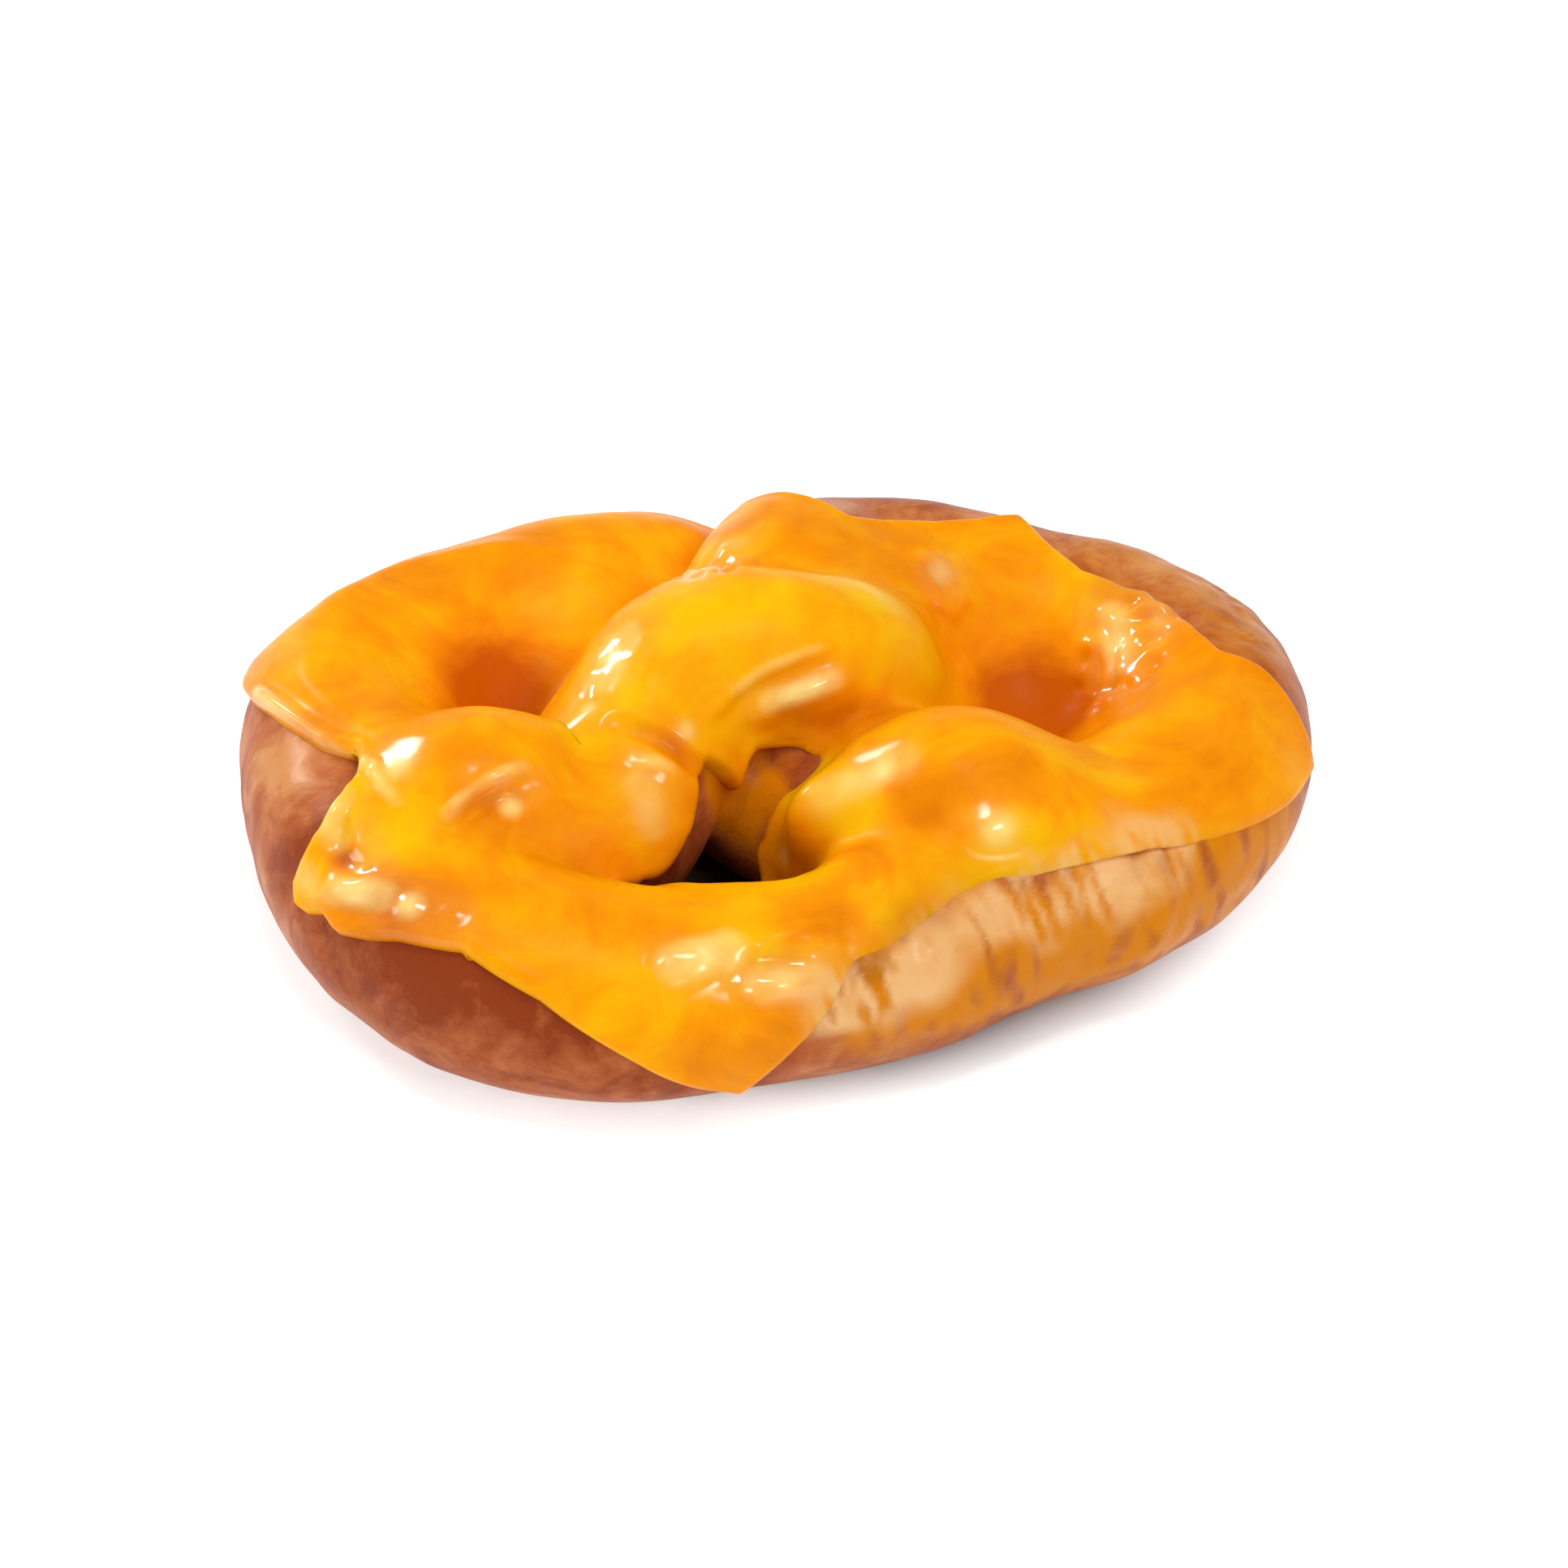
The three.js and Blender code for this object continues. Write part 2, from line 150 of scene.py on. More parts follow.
def swelling(swells: Swells, points: Array) -> Array:
    """The sum of several kinds of lumps at points, each kind with its height."""
    return sum(height * lumps(points) for height, lumps in swells)


# ------------------------------------------------------------------ the lattice


@dataclass(frozen=True)
class Lattice:
    """A box of evenly spaced nodes that distance fields are sampled on.

    Attributes:
        low: The box's lowest corner, in mm.
        high: The box's highest corner, in mm.
        spacing: The distance between nodes, in mm.
    """

    low: Place
    high: Place
    spacing: float

    @property
    def count(self) -> Array:
        """The number of nodes along each axis."""
        return np.ceil((np.array(self.high) - self.low) / self.spacing).astype(int) + 1

    def axis(self, number: int) -> Array:
        """The nodes' places along one axis."""
        return self.low[number] + self.spacing * np.arange(self.count[number])

    def axes(self) -> tuple[Array, Array, Array]:
        """The nodes' places along the three axes, shaped to broadcast over the box."""
        x, y, z = (self.axis(number) for number in range(3))
        return x[:, None, None], y[None, :, None], z[None, None, :]

    def window(self, low: Array, high: Array) -> tuple[slice, slice, slice]:
        """The nodes between two corners."""
        first = np.maximum(((low - self.low) / self.spacing).astype(int), 0)
        last = np.ceil((high - self.low) / self.spacing).astype(int) + 1
        return tuple(slice(a, b) for a, b in zip(first, np.minimum(last, self.count)))


@dataclass(frozen=True)
class Sampled:
    """A distance field sampled on a lattice, negative inside its shape.

    Attributes:
        values: The field on the lattice's nodes.
        lattice: The lattice.
        flattest: The least slope, squared, that settling reckons with.
        paces: How many paces a walk takes.
    """

    values: Array
    lattice: Lattice
    flattest: ClassVar[float] = 0.3
    paces: ClassVar[int] = 60

    def read(self, points: Array) -> Array:
        """The field at points between the nodes, in mm."""
        spot = (points - self.lattice.low) / self.lattice.spacing
        cell = np.clip(spot.astype(int), 0, np.array(self.values.shape) - 2)
        share = np.clip(spot - cell, 0, 1)
        total = np.zeros(points.shape[:-1])
        for near in np.array(CORNERS):
            weight = np.prod(np.where(near == 1, share, 1 - share), axis=-1)
            node = cell + near
            total += weight * self.values[node[..., 0], node[..., 1], node[..., 2]]
        return total

    def slope(self, points: Array) -> Array:
        """The direction in which the field grows."""
        step = self.lattice.spacing
        moves = step * np.eye(3)
        rises = [self.read(points + move) - self.read(points - move) for move in moves]
        return np.stack([rise / (2 * step) for rise in rises], axis=-1)

    def settle(self, points: Array, passes: int = 2) -> Array:
        """Moves points on to the shape's surface, where the field is 0."""
        for _ in range(passes):
            slope = self.slope(points)
            steepness = np.maximum((slope * slope).sum(-1, keepdims=True), self.flattest)
            points = points - slope * self.read(points)[..., None] / steepness
        return points

    def walk(self, start: Array, heading: Array, limit: float) -> Array:
        """Follows rays until they meet the shape's surface.

        Args:
            start: Where the rays start, in mm.
            heading: Their directions, of length 1.
            limit: How far they go at most.

        Returns:
            Where each ray ends.
        """
        gone = np.zeros(start.shape[:-1])
        for _ in range(self.paces):
            gap = self.read(start + heading * gone[..., None])
            gone = np.minimum(gone + np.maximum(gap, 0), limit)
        return start + heading * gone[..., None]


# ------------------------------------------------------------------ the ropes of dough


@dataclass(frozen=True)
class Wave:
    """One wave of the ring's outline: how often it turns, its swing in mm and its phase."""

    turns: int
    swing: float
    phase: float


@dataclass(frozen=True)
class Bulge:
    """A local change of the ring, in mm, round an angle and over a width in degrees."""

    at: float
    by: float
    over: float

    def __call__(self, angle: Array) -> Array:
        """The change at angles in degrees."""
        away = (angle - self.at + 180) % 360 - 180
        return self.by * np.exp(-((away / self.over) ** 2))


@dataclass(frozen=True)
class Ring:
    """The ring of rope that the belly and both lobes lie on.

    Attributes:
        mean_radius: The mean distance of the rope's centreline from the middle, in mm.
        waves: The outline's waves.
        outward: Where the ring bulges outwards, or inwards if negative.
        rope_radius: The rope's mean radius in mm.
        thinner: Where the rope is thinner.
        swell: How much thicker the rope is at swell_at than its mean, in mm.
        swell_at: The angle of its thickest place, in degrees from +X, like every angle here.
        squat: The centreline's height as a share of the rope's radius.
        start: The angle where the left arm leaves the ring.
        end: The angle where the right arm does.
    """

    mean_radius: float = 51.1
    waves: tuple[Wave, ...] = (
        Wave(1, 7.43, 109.4),
        Wave(2, 9.5, 34.6),
        Wave(3, 2.7, 77.8),
        Wave(5, 1.8, 51.6),
    )
    outward: tuple[Bulge, ...] = (
        Bulge(28, 3.2, 16),
        Bulge(78, 1.2, 16),
        Bulge(145, -1.8, 22),
        Bulge(166, 1, 10),
        Bulge(225, -1.2, 20),
        Bulge(262, 0.8, 28),
        Bulge(345, 2.0, 16),
    )
    rope_radius: float = 14.3
    thinner: tuple[Bulge, ...] = (Bulge(262, -1.6, 28),)
    swell: float = 0.5
    swell_at: float = 200.0
    squat: float = 0.9
    start: float = 114.0
    end: float = 436.0

    def crest(self, angle: Array) -> Array:
        """The centreline's distance from the middle."""
        turn = np.radians(angle)
        radius = np.full_like(turn, self.mean_radius)
        for wave in self.waves:
            radius += wave.swing * np.cos(wave.turns * turn - math.radians(wave.phase))
        return radius + sum(bulge(angle) for bulge in self.outward)

    def rope(self, angle: Array) -> Array:
        """The rope's radius."""
        swell = self.swell * np.cos(np.radians(angle - self.swell_at))
        return self.rope_radius + swell + sum(bulge(angle) for bulge in self.thinner)

    def stations(self, angle: Array) -> Array:
        """The centreline as rows of x, y, z and the rope's radius."""
        angle = np.asarray(angle, float)
        turn = np.radians(angle)
        crest = self.crest(angle)
        rope = self.rope(angle)
        rows = [crest * np.cos(turn), crest * np.sin(turn), rope * self.squat, rope]
        return np.stack(rows, axis=-1)


def curve_through(controls: Sequence[Sequence[float]], spacing: float) -> Array:
    """A smooth curve through control points, as evenly spaced rows.

    Args:
        controls: Rows of x, y, z and any further values that vary along the curve.
        spacing: The distance between the rows, in mm.

    Returns:
        The rows along the curve.
    """
    steps_a_piece = 12
    knots = np.array(controls, float)
    first = 2 * knots[0] - knots[1]
    last = 2 * knots[-1] - knots[-2]
    padded = np.vstack([first, knots, last])
    pieces = []
    for i in range(1, len(padded) - 2):
        p0, p1, p2, p3 = padded[i - 1 : i + 3]
        t0 = 0.0
        t1 = t0 + math.sqrt(np.linalg.norm((p1 - p0)[:3]))
        t2 = t1 + math.sqrt(np.linalg.norm((p2 - p1)[:3]))
        t3 = t2 + math.sqrt(np.linalg.norm((p3 - p2)[:3]))
        t = np.linspace(t1, t2, steps_a_piece, endpoint=False)[:, None]
        a1 = (t1 - t) / (t1 - t0) * p0 + (t - t0) / (t1 - t0) * p1
        a2 = (t2 - t) / (t2 - t1) * p1 + (t - t1) / (t2 - t1) * p2
        a3 = (t3 - t) / (t3 - t2) * p2 + (t - t2) / (t3 - t2) * p3
        b1 = (t2 - t) / (t2 - t0) * a1 + (t - t0) / (t2 - t0) * a2
        b2 = (t3 - t) / (t3 - t1) * a2 + (t - t1) / (t3 - t1) * a3
        pieces.append((t2 - t) / (t2 - t1) * b1 + (t - t1) / (t2 - t1) * b2)
    dense = np.vstack([*pieces, knots[-1:]])
    steps = np.linalg.norm(np.diff(dense[:, :3], axis=0), axis=1)
    along = np.concatenate([[0], np.cumsum(steps)])
    spots = np.linspace(0, along[-1], max(2, math.ceil(along[-1] / spacing) + 1))
    columns = [np.interp(spots, along, dense[:, k]) for k in range(dense.shape[1])]
    return np.stack(columns, axis=1)


@dataclass(frozen=True)
class Rope:
    """A rope of dough, as rows of x, y, z and radius along its centreline."""

    stations: Array

    def sample(self, lattice: Lattice, beyond: float = 9.0) -> Array:
        """Samples the distance to the rope's surface, negative inside.

        Args:
            lattice: Where to sample it.
            beyond: Distances over this aren't measured, and read as this.

        Returns:
            The distances on the lattice's nodes.
        """
        values = np.full(tuple(lattice.count), beyond, np.float32)
        axes = lattice.axes()
        for a, b in zip(self.stations[:-1], self.stations[1:]):
            margin = max(a[3], b[3]) + beyond
            low = np.minimum(a, b)[:3] - margin
            high = np.maximum(a, b)[:3] + margin
            part = lattice.window(low, high)
            x, y, z = axes[0][part[0]], axes[1][:, part[1]], axes[2][:, :, part[2]]
            run = (b - a)[:3]
            along = (x - a[0]) * run[0] + (y - a[1]) * run[1] + (z - a[2]) * run[2]
            along = np.clip(along / run.dot(run), 0, 1)
            off = sum((p - a[k] - along * run[k]) ** 2 for k, p in enumerate((x, y, z)))
            gap = np.sqrt(off) - (a[3] + (b[3] - a[3]) * along)
            np.minimum(values[part], gap, out=values[part])
        return values


@dataclass(frozen=True)
class Twist:
    """All the ropes of the pretzel: the ring and the two arms that cross twice in its middle.

    Attributes:
        ring: The ring.
        left_arm: Its rows of x, y, z and rope radius in mm, from the back of the ring to its end.
        right_arm: The same for the other arm.
        spacing: The distance between the ropes' stations, in mm.
        fade: How far from the ring's ends the fillets begin, and where they are whole, in mm.
        turn: The ring's step from knot to knot, in degrees.
        root: How far each arm runs along the ring before it leaves it, in degrees.
    """

    ring: Ring = Ring()
    left_arm: tuple[tuple[float, ...], ...] = (
        (-8, 39, 12, 12.5),
        (4, 31, 12, 12),
        (10, 21, 16, 12),
        (9.5, 14, 24.5, 12.3),
        (2, 10, 27, 13),
        (-9, 9.5, 26, 14),
        (-17, -0.5, 22.5, 13),
        (-23, -13, 17.5, 12.5),
        (-32, -15, 18.5, 13),
        (-40, -14, 21, 14),
        (-47.5, -15, 17, 12.5),
    )
    right_arm: tuple[tuple[float, ...], ...] = (
        (6, 43, 19, 13),
        (1.5, 34, 23.5, 12.3),
        (-4, 24, 21.5, 11.5),
        (-8, 13, 14, 11.5),
        (-1, 3, 12, 11.8),
        (10, -6, 13.5, 12.5),
        (19, -11, 18, 13.5),
        (27, -14, 20.5, 14),
        (37, -18, 16.5, 12.5),
        (45, -21, 13.5, 11.5),
    )
    spacing: float = 1.5
    fade: Span = (10.0, 30.0)
    turn: float = 3.0
    root: float = 8.0

    def sample(self, lattice: Lattice) -> list[Array]:
        """Samples the ring and both arms on a lattice."""
        ring = self.ring
        round_ring = ring.stations(np.arange(ring.start, ring.end + 1, self.turn))
        left = [*ring.stations([ring.start + self.root, ring.start]), *self.left_arm]
        right = [*ring.stations([ring.end - self.root, ring.end]), *self.right_arm]
        ropes = (Rope(curve_through(rows, self.spacing)) for rows in (round_ring, left, right))
        return [rope.sample(lattice) for rope in ropes]

    def joined(self, parts: Sequence[Array], lattice: Lattice, fillet: float) -> Sampled:
        """Joins the sampled ropes, with a fillet where they touch.

        Args:
            parts: The ring and the arms, sampled.
            lattice: What they are sampled on.
            fillet: How far touching ropes run into each other, in mm.

        Returns:
            The distance to the whole dough.
        """
        x, y, z = lattice.axes()
        nearest = np.full(tuple(lattice.count), np.inf, np.float32)
        for root in self.ring.stations([self.ring.start, self.ring.end]):
            away = (x - root[0]) ** 2 + (y - root[1]) ** 2 + (z - root[2]) ** 2
            nearest = np.minimum(nearest, np.sqrt(away))
        least = 0.01
        reach = np.maximum(fillet * smoothstep(nearest, *self.fade), least)
        ring, left, right = parts
        whole = blend(blend(left, right, reach), ring, reach).astype(np.float32)
        return Sampled(whole, lattice)


# ------------------------------------------------------------------ meshes


@dataclass
class Skin:
    """A mesh of quads in mm.

    Attributes:
        points: The vertices, one row each.
        quads: The faces, four vertex numbers each.
    """

    points: Array
    quads: Array

    @classmethod
    def around(cls, shape: Sampled) -> "Skin":
        """Skins a shape: one vertex a cell that its surface crosses, one quad round each edge.

        Args:
            shape: The shape.

        Returns:
            The closed skin, its faces pointing out.
        """
        values, lattice = shape.values, shape.lattice
        size = np.array(values.shape) - 1
        at = [values[tuple(slice(k, k + n) for k, n in zip(corner, size))] for corner in CORNERS]
        count = sum((part < 0).astype(np.int8) for part in at)
        crossed = (count > 0) & (count < 8)
        number = np.full(crossed.shape, -1, np.int64)
        cells = np.argwhere(crossed)
        number[crossed] = np.arange(len(cells))
        corner_values = np.stack([part[crossed] for part in at], axis=1).astype(float)
        places = np.array(CORNERS, float)
        total = np.zeros((len(cells), 3))
        crossings = np.zeros(len(cells))
        for a in range(8):
            for b in range(a + 1, 8):
                if np.abs(places[a] - places[b]).sum() != 1:
                    continue
                va, vb = corner_values[:, a], corner_values[:, b]
                cuts = (va < 0) != (vb < 0)
                share = np.where(cuts, va / np.where(cuts, va - vb, 1), 0)[:, None]
                spot = places[a] + (places[b] - places[a]) * share
                total += np.where(cuts[:, None], spot, 0)
                crossings += cuts
        points = np.array(lattice.low) + lattice.spacing * (cells + total / crossings[:, None])

        inside = values < 0
        faces = []
        for axis in range(3):
            u, v = (axis + 1) % 3, (axis + 2) % 3
            here = [slice(1, n) for n in size]
            there = list(here)
            here[axis] = slice(0, size[axis])
            there[axis] = slice(1, size[axis] + 1)
            near, far = inside[tuple(here)], inside[tuple(there)]
            edges = np.argwhere(near != far)
            outward = near[tuple(edges.T)]
            edges = edges + np.array([0 if k == axis else 1 for k in range(3)])
            around = []
            for du, dv in ((1, 1), (0, 1), (0, 0), (1, 0)):
                cell = edges.copy()
                cell[:, u] -= du
                cell[:, v] -= dv
                around.append(number[tuple(cell.T)])
            quad = np.stack(around, axis=1)
            faces.append(np.where(outward[:, None], quad, quad[:, ::-1]))
        return cls(points, np.vstack(faces))

    def edges(self) -> Array:
        """Every directed edge of the faces, two vertex numbers each."""
        return np.concatenate([self.quads[:, [k, (k + 1) % 4]] for k in range(4)])

    def rim(self) -> Array:
        """The directed edges that only one face has."""
        edges = self.edges()
        span = len(self.points)
        forward = edges[:, 0] * span + edges[:, 1]
        back = edges[:, 1] * span + edges[:, 0]
        return edges[~np.isin(forward, back)]

    def normals(self) -> Array:
        """The vertices' outward directions, averaged over the faces that meet there."""
        a, b, c, d = (self.points[self.quads[:, k]] for k in range(4))
        facing = np.cross(c - a, d - b)
        return unit(sum(gathered(corner, facing, len(self.points)) for corner in self.quads.T))

    def smoothed(self, passes: int, share: float = 0.5, held: Optional[Array] = None) -> "Skin":
        """The same mesh with small steps evened out.

        Args:
            passes: How often each vertex moves towards its neighbours' mean.
            share: How far it moves each time.
            held: True for each vertex that stays.

        Returns:
            The evened mesh.
        """
        points = self.points
        here, there = both_ways(self.edges()).T
        count = np.bincount(here, minlength=len(points))[:, None]
        for _ in range(passes):
            mean = gathered(here, points[there], len(points)) / count
            moved = points + share * (mean - points)
            points = moved if held is None else np.where(held[:, None], points, moved)
        return Skin(points, self.quads)

    def kept(self, faces: Array) -> "Skin":
        """The mesh of the chosen faces alone, without loose vertices."""
        quads = self.quads[faces]
        used = np.unique(quads)
        number = np.full(len(self.points), -1)
        number[used] = np.arange(len(used))
        return Skin(self.points[used], number[quads])

    def closed(self, top: Array, under: Array) -> "Skin":
        """A closed skin from two copies of this open one, with walls along its rim.

        Args:
            top: Where the upper copy's vertices are.
            under: Where the lower copy's are.

        Returns:
            The closed skin, its faces pointing out.
        """
        start, end = self.rim().T
        size = len(self.points)
        walls = np.stack([end, start, start + size, end + size], axis=1)
        quads = np.vstack([self.quads, self.quads[:, ::-1] + size, walls])
        return Skin(np.vstack([top, under]), quads)

    def object(self, name: str, readings: dict[Reading, Array]) -> bpy.types.Object:
        """Makes a Blender object of the mesh, in metres and in the object's frame.

        Args:
            name: The piece's name.
            readings: Values for each vertex that the finish reads.

        Returns:
            The new object, linked to the scene.
        """
        mesh = bpy.data.meshes.new(name)
        mesh.vertices.add(len(self.points))
        mesh.vertices.foreach_set("co", ((self.points + RING_CENTRE) * MM).ravel())
        mesh.loops.add(self.quads.size)
        mesh.loops.foreach_set("vertex_index", self.quads.ravel())
        mesh.polygons.add(len(self.quads))
        mesh.polygons.foreach_set("loop_start", np.arange(0, self.quads.size, 4))
        mesh.update(calc_edges=True)
        mesh.shade_smooth()
        for reading, values in readings.items():
            layer = mesh.attributes.new(reading.value, "FLOAT", "POINT")
            layer.data.foreach_set("value", values.astype(np.float32))
        piece = bpy.data.objects.new(name, mesh)
        bpy.context.scene.collection.objects.link(piece)
        return piece


# ------------------------------------------------------------------ relief


def gap_to(line: Array, points: Array) -> Array:
    """Measures how far points are from a line of straight pieces.

    Args:
        line: The line's corners.
        points: The points, with as many coordinates as the corners.

    Returns:
        The distances.
    """
    gap = np.full(len(points), np.inf)
    for a, b in zip(line[:-1], line[1:]):
        run = b - a
        along = np.clip((points - a) @ run / run.dot(run), 0, 1)
        gap = np.minimum(gap, np.linalg.norm(points - a - along[:, None] * run, axis=1))
    return gap


@dataclass(frozen=True)
class Bead:
    """A rounded cord or furrow that lies along a route on the surface.

    Attributes:
        route: Its control points in mm.
        height: How far it stands up; a furrow's is negative.
        width: Its half width in mm.
        spacing: The distance between its stations, in mm.
        taper: Where it starts and stops to taper towards its ends, as shares of its width.
    """

    route: Route
    height: float
    width: float
    spacing: ClassVar[float] = 1.5
    taper: ClassVar[Span] = (-0.8, 1.4)

    def relief(self, points: Array) -> Array:
        """The height that it adds at points."""
        route = curve_through(self.route, self.spacing)
        share = np.clip(gap_to(route, points) / self.width, 0, 1)
        first, last = (np.linalg.norm(points - end, axis=1) for end in (route[0], route[-1]))
        low, high = (self.width * part for part in self.taper)
        return self.height * (1 - share**2) ** 2 * smoothstep(np.minimum(first, last), low, high)


@dataclass(frozen=True)
class Lump:
    """A round swelling or dent.

    Attributes:
        centre: Its middle in mm.
        height: How far it stands up; a dent's is negative.
        radius: How far it reaches.
    """

    centre: Place
    height: float
    radius: float

    def relief(self, points: Array) -> Array:
        """The height that it adds at points."""
        share = np.linalg.norm(points - self.centre, axis=1) / self.radius
        return self.height * (1 - np.clip(share, 0, 1) ** 2) ** 2


@dataclass(frozen=True)
class Wrinkles:
    """Fine uneven wrinkles over a round patch.

    Attributes:
        centre: The patch's middle in mm.
        radius: How far it reaches.
        height: The wrinkles' height.
        length: Their length in mm.
        seed: Picks one set of wrinkles.
        core: The share of the radius over which they are at full height.
    """

    centre: Place
    radius: float
    height: float
    length: float
    seed: int
    core: ClassVar[float] = 0.4

    def relief(self, points: Array) -> Array:
        """The height that they add at points."""
        away = np.linalg.norm(points - self.centre, axis=1)
        inside = 1 - smoothstep(away, self.radius * self.core, self.radius)
        return self.height * inside * Unevenness(self.seed, self.length)(points)


Relief = Union[Bead, Lump, Wrinkles]


def total(reliefs: Sequence[Relief], points: Array) -> Array:
    """The sum of several reliefs at points."""
    return sum((relief.relief(points) for relief in reliefs), np.zeros(len(points)))


def distance_to(points: Array, targets: Array) -> Array:
    """Each point's distance to the nearest target, a few targets at a time."""
    batch = 64
    nearest = np.full(len(points), np.inf)
    for start in range(0, len(targets), batch):
        part = targets[start : start + batch]
        gap = ((points[:, None, :] - part[None]) ** 2).sum(-1).min(1)
        nearest = np.minimum(nearest, gap)
    return np.sqrt(nearest)


def outside(outline: Sequence[Sequence[float]], flat: Array) -> Array:
    """How far flat points lie outside a smooth closed outline.

    Args:
        outline: The outline's control points.
        flat: The points, with two coordinates each.

    Returns:
        Their distances to the outline, negative inside it.
    """
    spacing = 0.5
    closed = [(*point, 0.0) for point in (*outline, outline[0])]
    line = curve_through(closed, spacing)[:, :2]
    crossings = np.zeros(len(flat))
    for a, b in zip(line[:-1], line[1:]):
        run = b - a
        level = (a[1] > flat[:, 1]) != (b[1] > flat[:, 1])
        rise = run[1] if run[1] else TINY
        crossings += level & (flat[:, 0] < a[0] + (flat[:, 1] - a[1]) * run[0] / rise)
    gap = gap_to(line, flat)
    return np.where(crossings % 2 == 1, -gap, gap)


# ------------------------------------------------------------------ shader maths


Operand = Union["Socket", float]
Stops = tuple[tuple[float, Colour], ...]
# The middle of a value that noises make uneven, and how far each noise spreads it.
Mottling = tuple[float, ...]


def arithmetic(operation: str, swapped: bool = False) -> Callable[["Socket", Operand], "Socket"]:
    """Makes an operator that adds a Math node.

    Args:
        operation: What the node does.
        swapped: Whether the socket is the second of its two values.

    Returns:
        The operator.
    """

    def operate(socket: "Socket", other: Operand) -> "Socket":
        """Adds the node."""
        pair = (other, socket) if swapped else (socket, other)
        return socket.graph.add("ShaderNodeMath", {"operation": operation}, dict(enumerate(pair)))

    return operate


@dataclass(frozen=True)
class Socket:
    """A node's output, on which + - * / and powers add Math nodes."""

    graph: "Graph"
    output: bpy.types.NodeSocket

    __add__ = arithmetic("ADD")
    __radd__ = arithmetic("ADD", swapped=True)
    __sub__ = arithmetic("SUBTRACT")
    __rsub__ = arithmetic("SUBTRACT", swapped=True)
    __mul__ = arithmetic("MULTIPLY")
    __rmul__ = arithmetic("MULTIPLY", swapped=True)
    __truediv__ = arithmetic("DIVIDE")
    __pow__ = arithmetic("POWER")

    def clamped(self) -> "Socket":
        """The value held between 0 and 1."""
        return self.graph.add("ShaderNodeClamp", {}, {0: self})

    def step(self, low: float, high: float) -> "Socket":
        """Rises smoothly from 0 at low to 1 at high."""
        settings = {"interpolation_type": "SMOOTHSTEP"}
        return self.graph.add("ShaderNodeMapRange", settings, {0: self, 1: low, 2: high})


@dataclass(frozen=True)
class Noise:
    """Cloudy noise.

    Attributes:
        scale: Its fineness, in clouds per metre.
        detail: How many finer layers it has.
        roughness: How strong those layers are.
        warp: How twisted it is.
    """

    scale: float
    detail: float
    roughness: float = 0.5
    warp: float = 0.0


@dataclass(frozen=True)
class Film:
    """A colour that lies over another where the mesh says, stronger in some patches than in others.

    Attributes:
        reading: Says where it lies.
        colour: Its colour.
        even: Its strength between the patches.
        patchy: What the patches add to that.
    """

    reading: Reading
    colour: Colour
    even: float = 1.0
    patchy: float = 0.0


